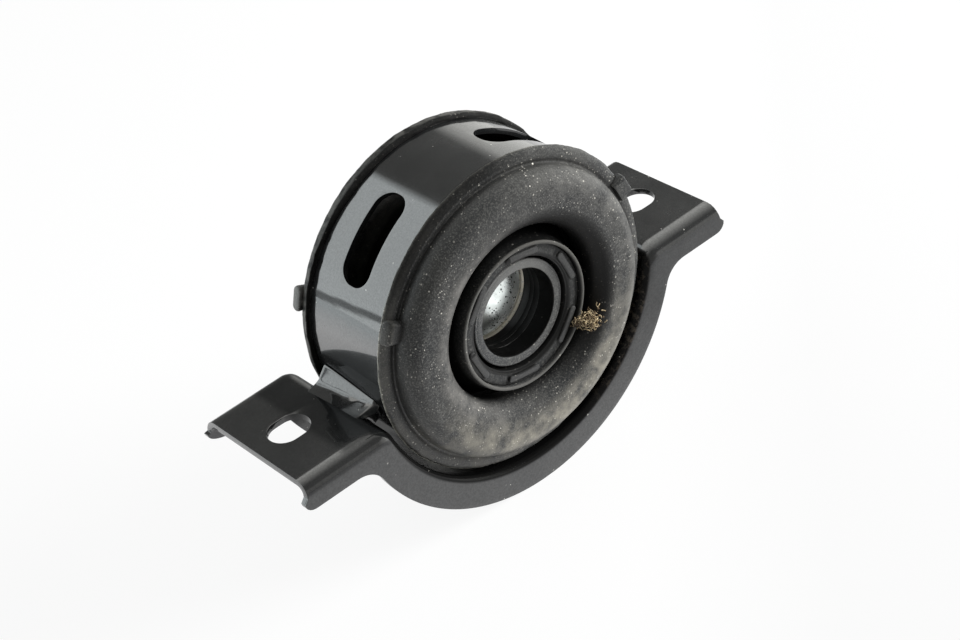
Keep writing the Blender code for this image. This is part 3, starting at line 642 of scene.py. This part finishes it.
def bend_centre(level, circle, bend):
    """Middle of the arc that leads from a level line into a circle about the axis, and the angle in
    radians from level at which they meet."""
    down = level - bend
    reach = circle + bend
    return Vector((-math.sqrt(reach ** 2 - down ** 2), down)), math.asin(-down / reach)


def bracket_line(level, circle, bend, ear_steps, bend_steps, saddle_steps):
    """Left half of an outline from the ear's end to the saddle's lowest point: point, normal, distance
    from the ear's end, and how far the flange bend has tightened."""
    centre, meet = bend_centre(level, circle, bend)
    line = [(Vector((-EAR_END + d, level)), Vector((0, 1)), d, 0.0) for d in ear_steps]
    for k in range(bend_steps + 1):
        a = math.pi / 2 + (meet - math.pi / 2) * k / bend_steps
        normal = Vector((math.cos(a), math.sin(a)))
        line.append((centre + normal * bend, normal, 1.0, 0.6 * k / bend_steps))
    for k in range(1, saddle_steps + 1):
        a = math.pi + meet + (math.pi / 2 - meet) * k / saddle_steps
        outward = Vector((math.cos(a), math.sin(a)))
        line.append((outward * circle, -outward, 1.0, min(1.0, 0.6 + 0.1 * k)))
    return line


def corner_loss(distance, length, rise):
    """How much a rounded corner takes off a flange at a distance from its end."""
    if distance >= length:
        return 0.0
    return rise * (1 - math.sqrt(1 - (1 - distance / length) ** 2))


def bracket_point(top, low, across, bend):
    """Place of one point of a skin of the bracket. across runs from -1 at the front flange's lower edge
    to +1 at the rear one's, and bend is the skin's own radius at the flange bends."""
    point, normal, distance, tight = top
    foot = low[0]
    side = -1 if across < 0 else 1
    share = 1 - abs(across)
    edge = EDGE_BEND - (EDGE_BEND - TIGHT_BEND) * tight
    bend += edge - EDGE_BEND
    flat = HALF_WIDTH - edge
    flare = FLARE * max(0.0, 1 - distance / FLARE_LENGTH)
    turn = min(max(0.5 - share, 0.0) / 0.25, 1.0) * math.pi / 2
    depth = edge - bend * math.cos(turn)
    spot = point - normal * depth
    spot = Vector((spot.x - flare * min(1.0, depth / (2 * EDGE_BEND)) ** 2, spot.y))
    y = flat + bend * math.sin(turn)
    if share >= 0.5:
        y = flat * (1 - share) / 0.5
    if share < 0.25:
        corner = (0.0035, 0.0035) if side < 0 else (0.0115, 0.0050)
        loss = corner_loss(distance, *corner)
        spot = spot.lerp(Vector((foot.x - flare, foot.y + loss)), (0.25 - share) / 0.25)
    return Vector((spot.x, side * y, spot.y))


def bracket_skin(bm, top, low, bend, rows):
    """One skin of the bracket: a grid laid over the pressed form, given back as rows of vertices."""
    stations = top + top[-2::-1]
    feet = low + low[-2::-1]
    grid = []
    for number, (point, foot) in enumerate(zip(stations, feet)):
        mirror = 1 if number < len(top) else -1
        line = []
        for row in range(rows + 1):
            spot = bracket_point(point, foot, row * 2 / rows - 1, bend)
            line.append(bm.verts.new((spot.x * mirror, spot.y + BRACKET_Y, spot.z + AXIS_Z)))
        grid.append(line)
    for near, far in zip(grid, grid[1:]):
        for k in range(rows):
            bm.faces.new((near[k], near[k + 1], far[k + 1], far[k]))
    return grid


def slot_shape(x, width, length, depth, level):
    """A round-ended prism through an ear."""
    bm = bmesh.new()
    straight = (length - width) / 2
    bmesh.ops.create_circle(bm, cap_ends=True, segments=48, radius=width / 2)
    for vert in bm.verts:
        if abs(vert.co.x) > 1e-6:
            vert.co.x += math.copysign(straight, vert.co.x)
    lift_copy(bm, depth)
    bmesh.ops.translate(bm, vec=(x, BRACKET_Y, level - depth / 2), verts=bm.verts)
    return bm


def make_bracket(paint):
    """The pressed bracket: an outer and an inner skin, joined round their edges, slotted and softened."""
    ear_steps = [0, 0.0002, 0.0006, 0.0012, 0.0020, 0.0029, 0.0040, 0.0052, 0.0066, 0.0081, 0.0098, 0.0115,
                 0.0135, 0.0160, 0.0185]
    top = bracket_line(-EAR_DROP, SADDLE_RADIUS, EAR_BEND, ear_steps, 12, 34)
    low = bracket_line(-EAR_DROP - EAR_FLANGE, FLANGE_RADIUS, FLANGE_FILLET, ear_steps, 12, 34)
    bm = bmesh.new()
    outer, inner = [bracket_skin(bm, top, low, bend, 40) for bend in (EDGE_BEND, EDGE_BEND - SHEET)]
    rims = [[line[0] for line in grid] + grid[-1][1:] + [line[-1] for line in grid[-2::-1]] + grid[0][-2:0:-1]
            for grid in (outer, inner)]
    bridge(bm, rims)
    bmesh.ops.recalc_face_normals(bm, faces=bm.faces)
    bracket = show(bm, "pressed_bracket", paint, "housing")
    level = AXIS_Z - EAR_DROP
    slots = [slot_shape(x, SLOT_WIDTH, SLOT_LENGTH, 0.012, level) for x in (-SLOT_X, SLOT_X)]
    cut(bracket, slots)
    soften(bracket, 0.00045, 3, 40)
    settle(bracket)
    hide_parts("bracket")


# Ring band

def window_shape(angle, length=34.0, width=13.3, corner=6.0):
    """A rounded prism that points out from the axis."""
    bm = bmesh.new()
    bmesh.ops.create_grid(bm, x_segments=1, y_segments=1, size=0.5)
    chord = 2 * BAND_OUTSIDE * math.sin(length / BAND_OUTSIDE / 2)
    bmesh.ops.scale(bm, vec=(width * MM, chord * MM, 1), verts=bm.verts)
    bmesh.ops.bevel(bm, geom=bm.verts[:], offset=corner * MM, segments=14, profile=0.5, affect='VERTICES',
                    material=-1)
    bmesh.ops.rotate(bm, cent=(0, 0, 0), matrix=Matrix.Rotation(math.pi / 2, 3, 'Z'), verts=bm.verts)
    lift_copy(bm, 16 * MM)
    bmesh.ops.translate(bm, vec=(0, 0, 46 * MM), verts=bm.verts)
    turn = Matrix.Rotation(math.radians(90 - angle), 3, 'Y')
    bmesh.ops.rotate(bm, cent=(0, 0, 0), matrix=turn, verts=bm.verts)
    bmesh.ops.translate(bm, vec=CENTRE, verts=bm.verts)
    return bm


def make_band(paint):
    section = [(BAND_OUTSIDE, reach) for reach in BAND_ROWS]
    section += [(BAND_INSIDE, reach) for reach in BAND_ROWS[::-1]]
    band = show(spun(section, 288), "pierced_band", paint, "housing")
    cut(band, [window_shape(angle) for angle in WINDOW_ANGLES])
    soften(band, 0.0006, 4, 35)
    settle(band)
    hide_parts("ring_band")


# Weld beads

def make_weld(name, side, paint, node):
    """A painted bead in the corner between band and bracket, laid in a few long waves."""
    bm = bmesh.new()
    centre, meet = bend_centre(-EAR_DROP, SADDLE_RADIUS, EAR_BEND)
    line = []
    for share in (0.0, 0.35, 0.7, 1.0):
        a = meet + (math.pi / 2 - meet) * share
        line.append(centre + (EAR_BEND - 0.00010) * Vector((math.cos(a), math.sin(a))))
    root = Vector((-0.05990 * math.cos(meet + 0.01), -0.05990 * math.sin(meet + 0.01)))
    steps, lower = 60, math.radians(15.5)
    loops = []
    for step in range(steps + 1):
        along = step / steps
        end = min(1.0, 12 * min(along, 1 - along) + 0.3) ** 0.5
        upper = math.radians(4.4 + 5.4 * along ** 1.3)
        band = [lower + (upper - lower) * end * share for share in (0.0, 0.33, 0.67, 1.0)]
        foot = root.lerp(Vector((-0.0642 + 0.0024 * along, -EAR_DROP - 0.0004 * along)), end)
        points = [root] + [Vector((-0.05502 * math.cos(a), -0.05502 * math.sin(a))) for a in band]
        top = points[-1]
        drop = (top.y + 0.0095 + 0.0006 * along) * end
        ledge = top - Vector((0.72 * drop + 0.0003, drop))
        heel = ledge + Vector((-0.0010, (foot.y - ledge.y) * 0.60))
        line_up = [top.lerp(ledge, k / 5) for k in range(1, 5)]
        for k in range(8):
            share = k / 8
            line_up.append(ledge * (1 - share) ** 2 + heel * 2 * share * (1 - share) + foot * share ** 2)
        for k, spot in enumerate(line_up):
            wave = 0.00004 * math.sin(along * 15 + 1.5 * math.sin(along * 8) + k * 0.1)
            wave += 0.00010 * noise.noise(Vector((side * 3, along * 4.5, k * 0.2)))
            points.append(spot + Vector((-0.7, 0.7)) * wave * math.sin((k + 1) / 13 * math.pi))
        points.append(foot)
        points += [root.lerp(p, 0.96) for p in line[::-1]]
        loops.append([bm.verts.new((-side * p.x, WELD_BACK - along * WELD_LENGTH, p.y)) for p in points])
    bridge(bm, loops, True)
    bmesh.ops.translate(bm, vec=CENTRE, verts=bm.verts)
    bmesh.ops.recalc_face_normals(bm, faces=bm.faces)
    bead = show(bm, name, paint, "housing", 60)
    smooth = bead.modifiers.new("round", 'SUBSURF')
    smooth.levels = smooth.render_levels = 2
    settle(bead, 60)
    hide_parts(node)


# Rubber cushion

def cushion_front(foot, crest):
    """Outer surface of the front half, from the lip's foot to the sleeve's seat."""
    lip = eased([(55.12, foot), (crest - 0.9, foot + 0.12), (crest - 0.15, foot + 0.65), (crest, foot + 1.1),
                 (crest - 0.1, 20.5), (crest - 0.75, 21.4), (crest - 2.3, 21.95), (54.0, 22.0), (52.9, 21.7),
                 (52.3, 21.9)], 4)
    bulge = arc((45.2, 22.4), 7.0, 2, 90, 16) + arc((39.7, 21.2), 8.2, 90, 180, 16)
    well = eased([(31.5, 21.2), (31.9, 18.4), (33.0, 15.5), (34.7, 12.8), (35.9, 10.6), (35.3, 9.3),
                  (34.3, 9.5), (33.9, 11.0), (31.6, 14.0), (29.2, 18.5), (27.6, 23.0), (26.95, 26.1)], 4)[1:]
    rim = [(26.8, 26.55), (26.55, 26.7), (25.9, 26.7), (25.62, 26.45), (25.6, 22.0), (25.6, 10.7),
           (33.1, 10.7)]
    return lip + bulge + well + rim


def rounded_pad(rings, straight, place_at):
    """A closed pad with a stadium outline. rings runs from base to crown as pairs of radius and height,
    straight is half the length between the round ends, and place_at maps along, across and height."""
    bm = bmesh.new()
    loops = []
    for radius, height in rings:
        loop = []
        for k in range(32):
            a = math.tau * (k + 0.5) / 32
            along = radius * math.cos(a) + math.copysign(straight, math.cos(a))
            loop.append(bm.verts.new(place_at(along, radius * math.sin(a), height) * MM + CENTRE))
        loops.append(loop)
    bridge(bm, loops, True)
    bmesh.ops.recalc_face_normals(bm, faces=bm.faces)
    return bm


def make_cushion(rubber):
    """The moulded cushion: two lips, two hollow bulges, the well round the hub and the hollow behind
    the windows."""
    chamber = [(39.5, 0.0), (39.3, 9.5), (36.3, 15.5)] + arc((39.7, 21.2), 4.9, 165, 105, 4)
    chamber += arc((45.2, 22.4), 3.7, 75, 15, 4)
    chamber += [(51.3, 16.4), (51.6, 15.7), (52.8, 15.7), (52.8, 20.15), (55.12, 20.15)]
    section = cushion_front(19.3, 57.9) + flipped(cushion_front(17.4, 57.0)) + flipped(chamber) + chamber[1:]
    bm = spun(section, 320)

    def on_lip(co):
        return 1.0 if radius_of(co) > 0.0553 and abs(reach_of(co)) > 0.0165 else 0.0

    def on_rear_edge(co):
        return 1.0 if radius_of(co) > 0.0553 and -0.0190 < reach_of(co) < 0.0 else 0.0

    for vert in bm.verts:
        reach = reach_of(vert.co)
        if radius_of(vert.co) > 0.05505 and -0.0188 < reach < -0.0170:
            left = min(1.0, max(0.0, (-vert.co.x - 0.030) / 0.016))
            vert.co.y += 0.0013 * left * (reach + 0.0188) / 0.0014
    roughen(bm, 0.00018, 0.0045, on_lip)
    roughen(bm, 0.00010, 0.0012, on_lip, 3.0)
    roughen(bm, 0.00028, 0.0055, on_rear_edge, 9.0)
    cushion = show(bm, "moulded_cushion", rubber, "housing", 50)
    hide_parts("rubber_cushion")
    for name, angle, rear, high, lean in TABS:

        def place_at(along, across, height):
            a = math.radians(angle) + along / TAB_RING
            reach = (22.6 - across) * -1 if rear else 22.1 - across
            height -= lean * max(0.0, reach - 20.4)
            return Vector((height * math.cos(a), -reach, height * math.sin(a)))

        rings = [(2.0, high - 5.5), (2.05, high - 1.2), (2.0, high - 0.7), (1.85, high - 0.35),
                 (1.55, high - 0.12), (1.0, high)]
        tab = show(rounded_pad(rings, 2.5, place_at), name, rubber, "housing", 60)


# Seals, slingers and bearing

def make_seal(end, rubber):
    rear = end == "rear"
    side = 1 if rear else -1
    section = [(25.3, 25.0), (21.5, 25.0), (21.2, 24.8), (20.9, 24.1), (20.6, 24.0), (20.6, 20.4),
               (17.3, 17.5), (17.3, 16.8), (20.6, 17.4), (20.6, 11.7), (24.1, 11.7), (24.1, 18.4),
               (25.3, 18.4)]
    seal = show(spun(section, 192, rear), "dust_seal_face_" + end, rubber, "housing", 30)
    soften(seal, 0.00012, 2, 30)
    settle(seal)
    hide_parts("dust_seal_" + end)
    for k in range(PADS):
        middle = math.radians(20.0 + 360 // PADS * k)

        def place_at(along, across, height):
            a = middle + along / PAD_RING
            out = PAD_RING + across
            return Vector((out * math.cos(a), side * height, out * math.sin(a)))

        rings = [(1.3, 24.8), (1.3, 25.45), (1.22, 25.62), (1.05, 25.74), (0.75, 25.8)]
        name = "seal_pad_%s_%d" % (end, k + 1)
        pad = show(rounded_pad(rings, 5.6, place_at), name, rubber, "housing", 60)


def make_slinger(end, coating):
    rear = end == "rear"
    tube = [(15.7, 22.6), (15.7, 16.3), (15.64, 16.2), (15.7, 16.1), (15.7, 13.5), (15.64, 13.4),
            (15.7, 13.3), (15.7, 11.5), (15.64, 11.4), (15.7, 11.3), (15.7, 8.3)]
    section = [(16.1, 23.2)] + tube + [(16.9, 8.3), (16.9, 22.0), (19.4, 22.0), (19.4, 22.9), (19.15, 23.2),
                                       (18.5, 23.2), (18.4, 23.1), (18.3, 23.2)]
    collar = show(spun(section, 192, rear), "slinger_collar_" + end, coating, "rotor", 30)
    soften(collar, 0.00008, 2, 30)
    settle(collar)
    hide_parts("slinger_" + end)


def make_inner_race(steel):
    groove = arc((23.0, 0.0), 5.16, 236, 124, 12)
    section = [(15.0, 7.0), (15.15, 7.35), (16.0, 8.0), (20.2, 8.0)]
    line = section + [(p[0], -p[1]) for p in groove] + flipped(section)
    race = show(spun(line, 160), "bearing_inner_race", steel, "rotor", 30)
    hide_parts("inner_race")


# Dirt

def make_dirt_clump(straw, soil):
    """A tangle of short fibres and crumbs, stuck between the hub's rim and the bulge."""
    rng = random.Random(11)
    start = Vector((20.4, -27.6, -14.6)) * MM + CENTRE
    end = Vector((26.9, -29.0, -16.6)) * MM + CENTRE

    def spot_in_clump():
        share = rng.random() ** 0.8
        spread = 0.0016 + 0.0019 * share
        return start.lerp(end, share) + Vector([rng.gauss(0, 0.5) * spread for _ in range(3)])

    fibres = bpy.data.curves.new("dirt_fibres", 'CURVE')
    fibres.dimensions = '3D'
    fibres.bevel_depth = 0.00017
    fibres.bevel_resolution = 1
    fibres.use_fill_caps = True
    for _ in range(FIBRES):
        at = spot_in_clump()
        way = Vector([rng.uniform(-1, 1) for _ in range(3)]).normalized()
        spline = fibres.splines.new('POLY')
        spline.points.add(4)
        for point in spline.points:
            point.co = (at.x, at.y, at.z, 1)
            point.radius = rng.uniform(0.5, 1.3)
            way = (way + Vector([rng.uniform(-0.9, 0.9) for _ in range(3)])).normalized()
            at = at + way * rng.uniform(0.0002, 0.0006)
    lines = bpy.data.objects.new("dirt_fibres", fibres)
    bpy.context.collection.objects.link(lines)
    fibres.materials.append(straw)
    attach(lines, "housing")
    bm = bmesh.new()
    for _ in range(CRUMBS):
        at = spot_in_clump() + Vector((0, 0.0005, 0))
        made = bmesh.ops.create_icosphere(bm, subdivisions=1, radius=rng.uniform(0.0002, 0.0006))["verts"]
        bmesh.ops.scale(bm, vec=Vector([rng.uniform(0.6, 1.2) for _ in range(3)]), verts=made)
        bmesh.ops.translate(bm, vec=at, verts=made)
    crumbs = show(bm, "dirt_crumbs", soil, "housing", 30)


# Surroundings

def make_table():
    """A pale table under the part: nearly white for the camera. Its colour carries painted shade, darker in
    front and on the right, and for the part it glows as painted light, brightest behind on the left, with a
    dark gap painted into what glossy surfaces mirror."""
    bm = bmesh.new()
    bmesh.ops.create_circle(bm, cap_ends=True, segments=96, radius=0.75)
    mesh = bpy.data.meshes.new("table")
    bm.to_mesh(mesh)
    bm.free()
    table = bpy.data.objects.new("table", mesh)
    bpy.context.collection.objects.link(table)
    material = bpy.data.materials.new("white_table")
    material.use_nodes = True
    tree = material.node_tree
    spot = place(tree, "ShaderNodeTexCoord").outputs["Object"]
    # Painted shade on the table: darker towards the front and at the front right
    shade = ramp(tree, towards(tree, spot, AWAY), -0.45, 0.0, 0.25, 0.98)
    corner = towards(tree, spot, (1.0, -1.0, 0.0))
    shade = product(tree, shade, ramp(tree, corner, 0.07, 0.16, 1.0, 0.62))
    shader = tree.nodes["Principled BSDF"]
    shader.inputs["Roughness"].default_value = 0.9
    shader.inputs["Specular IOR Level"].default_value = 0.0
    link(tree, shade, shader.inputs["Base Color"])
    rays = place(tree, "ShaderNodeLightPath").outputs
    camera, glossy = rays["Is Camera Ray"], rays["Is Glossy Ray"]
    unseen = math_node(tree, 'SUBTRACT', 1.0, camera)
    glow = place(tree, "ShaderNodeEmission")
    back = towards(tree, spot, (-0.70, 0.70, 0.0))
    soft = math_node(tree, 'SUBTRACT', 1.0, glossy)
    parts = split_place(tree, spot)
    turned = math_node(tree, 'ARCTAN2', parts["Y"], parts["X"])
    # Painted shade: a dark gap behind the part in the glow that glossy surfaces mirror
    gap = product(tree, between(tree, turned, 0.80, 1.70, 0.10), glossy)
    # The glow that the part sees is painted light, its strength set by place on the table
    mirrored = product(tree, shade, ramp(tree, back, 0.10, 0.25, 0.85, 1.8), fade(tree, gap, 0.2), unseen,
                       fade(tree, soft, 1.6))
    link(tree, math_node(tree, 'ADD', mirrored, camera), glow.inputs["Strength"])
    cool = product(tree, ramp(tree, back, 0.22, 0.55), unseen)
    link(tree, mix_colour(tree, cool, WHITE, (0.90, 0.98, 1.0, 1)), glow.inputs["Color"])
    share = fade(tree, camera, 0.9, 0.8)
    blend = place(tree, "ShaderNodeMixShader")
    link(tree, share, blend.inputs[0])
    link(tree, shader.outputs[0], blend.inputs[1])
    link(tree, glow.outputs[0], blend.inputs[2])
    link(tree, blend.outputs[0], tree.nodes["Material Output"].inputs["Surface"])
    mesh.materials.append(material)


def make_world():
    """White for the camera. For the part: a bright wall behind on the left, a bright strip round the
    horizon behind and to the right with a gap in it, a dark line at the wall's foot, a light overhead, and
    dimness elsewhere."""
    world = bpy.data.worlds.new("studio")
    bpy.context.scene.world = world
    world.use_nodes = True
    tree = world.node_tree
    tree.nodes.clear()
    spot = place(tree, "ShaderNodeTexCoord").outputs["Generated"]
    split = split_place(tree, spot)
    east, north, up = split["X"], split["Y"], split["Z"]
    rays = place(tree, "ShaderNodeLightPath").outputs
    waves = math_node(tree, 'SUBTRACT', noise_value(tree, spot, 9.0, 4.0), 0.5)
    ragged = math_node(tree, 'MULTIPLY', waves, 0.16)
    height = math_node(tree, 'ADD', up, ragged)
    turned = math_node(tree, 'ARCTAN2', north, east)
    bearing = math_node(tree, 'ADD', turned, ragged)
    wall = product(tree, between(tree, bearing, 1.56, 2.95, 0.06), ramp(tree, height, 0.76, 0.84, 1.0, 0.0),
                   WALL)
    side = ramp(tree, towards(tree, spot, AWAY), -0.65, 0.10, 0.20, 1.0)
    gap = fade(tree, between(tree, turned, 0.84, 1.48, 0.05), 0.15)
    strip = product(tree, ramp(tree, up, 0.30, 0.50, 1.0, 0.0), side, gap, STRIP)
    overhead = product(tree, ramp(tree, north, 0.570, 0.600, 1.0, 0.0), OVERHEAD,
                       ramp(tree, north, -0.65, 0.55), ramp(tree, up, 0.45, 0.60),
                       fade(tree, rays["Is Diffuse Ray"], 0.2))
    level = most(tree, wall, strip, CEILING, overhead)
    lean = math_node(tree, 'MULTIPLY', math_node(tree, 'SUBTRACT', turned, LINE_TURN), LINE_LEAN)
    fine = place(tree, "ShaderNodeCombineXYZ")
    link(tree, math_node(tree, 'MULTIPLY', turned, 220.0), fine.inputs[0])
    link(tree, math_node(tree, 'MULTIPLY', up, 30.0), fine.inputs[1])
    frayed = math_node(tree, 'SUBTRACT', noise_value(tree, fine.outputs[0], 1.0, 4.0, 0.65), 0.5)
    foot = math_node(tree, 'SUBTRACT', up, lean)
    foot = math_node(tree, 'ADD', foot, math_node(tree, 'MULTIPLY', frayed, 0.07))
    line = between(tree, foot, *LINE_SPAN, 0.010)
    level = math_node(tree, 'MULTIPLY', level, fade(tree, line, LINE_LEVEL))
    lit = place(tree, "ShaderNodeBackground")
    link(tree, level, lit.inputs["Strength"])
    link(tree, mix_colour(tree, ramp(tree, wall, 0.0, 1.0), (1.0, 1.0, 0.96, 1), (0.93, 0.99, 1.0, 1)),
         lit.inputs["Color"])
    seen = place(tree, "ShaderNodeBackground")
    seen.inputs["Color"].default_value = WHITE
    blend = place(tree, "ShaderNodeMixShader")
    link(tree, rays["Is Camera Ray"], blend.inputs[0])
    link(tree, lit.outputs[0], blend.inputs[1])
    link(tree, seen.outputs[0], blend.inputs[2])
    link(tree, blend.outputs[0], place(tree, "ShaderNodeOutputWorld").inputs["Surface"])


def add_lamp(name, place_at, target, size, power):
    lamp = bpy.data.lights.new(name, 'AREA')
    lamp.shape = 'RECTANGLE'
    lamp.size, lamp.size_y = size
    lamp.energy = power
    item = bpy.data.objects.new(name, lamp)
    item.location = place_at
    item.rotation_euler = (Vector(target) - Vector(place_at)).to_track_quat('-Z', 'Y').to_euler()
    item.visible_camera = item.visible_glossy = False
    bpy.context.collection.objects.link(item)


def make_camera():
    data = bpy.data.cameras.new("camera")
    data.sensor_width = 36.0
    data.lens = 81.84
    data.clip_start = 0.01
    item = bpy.data.objects.new("camera", data)
    right = Vector((0.73850533, -0.65544489, -0.15811981))
    down = Vector((-0.49078483, -0.36176549, -0.792626))
    ahead = Vector((0.46232037, 0.66296133, -0.58884815))
    turn = Matrix((right, -down, -ahead)).transposed().to_4x4()
    item.matrix_world = Matrix.Translation((-0.34714, -0.49944, 0.50027)) @ turn
    bpy.context.collection.objects.link(item)
    bpy.context.scene.camera = item


def dress_hidden_nodes(frame, race, sheet):
    """Gives the nodes that stay their finish."""
    for name, node in frame["nodes"].items():
        steel = None
        if name.startswith("ball_") or name == "outer_race":
            steel = race
        elif name.startswith(("cage", "rivet", "bearing_s", "seal_stiffener")):
            steel = sheet
        if steel:
            node.data.materials.clear()
            node.data.materials.append(steel)


def main():
    # Without a seed, noise_vector takes its offset from the clock and the lips differ from run to run
    noise.seed_set(NOISE_SEED)
    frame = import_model()
    make_camera()
    make_world()
    make_table()
    add_lamp("key_softbox", (0.80, -0.45, 0.36), (0, 0, 0.06), (0.5, 0.5), 20.0)
    make_place_group()
    specks, mottle = make_speck_group(), make_mottle_group()
    paint = make_paint("gloss_black_paint", specks, mottle)
    bracket_paint = make_paint("bracket_black_paint", specks, mottle, True)
    rubber = make_rubber("dusty_rubber_with_painted_light", specks, mottle, 0.015, 0.034, 0.48, 0.40, 0.00007, True)
    seal_rubber = make_rubber("seal_rubber_face", specks, mottle, 0.014, 0.026, 0.46, 0.16, 0.00003,
                              notches=True)
    coating = make_rubber("dark_coating_with_painted_light", specks, mottle, 0.034, 0.054, 0.42, 0.16, 0.00002, tube=True)
    race = make_steel("race_steel_bare", (0.66, 0.66, 0.64), 0.30, mottle, 0.5)
    sheet = make_steel("pressed_sheet_bare", (0.45, 0.45, 0.44), 0.40, mottle)
    straw = make_dirt("dry_fibre", (0.13, 0.085, 0.04), (0.75, 0.62, 0.40))
    soil = make_dirt("dry_soil", (0.012, 0.009, 0.006), (0.22, 0.16, 0.10))
    make_bracket(bracket_paint)
    make_band(paint)
    make_weld("weld_bead_left", -1, paint, "weld_left")
    make_weld("weld_bead_right", 1, paint, "weld_right")
    make_cushion(rubber)
    for end in ("front", "rear"):
        make_seal(end, seal_rubber)
        make_slinger(end, coating)
    make_inner_race(race)
    make_dirt_clump(straw, soil)
    dress_hidden_nodes(frame, race, sheet)
    bpy.context.scene.view_settings.view_transform = 'Standard'


main()
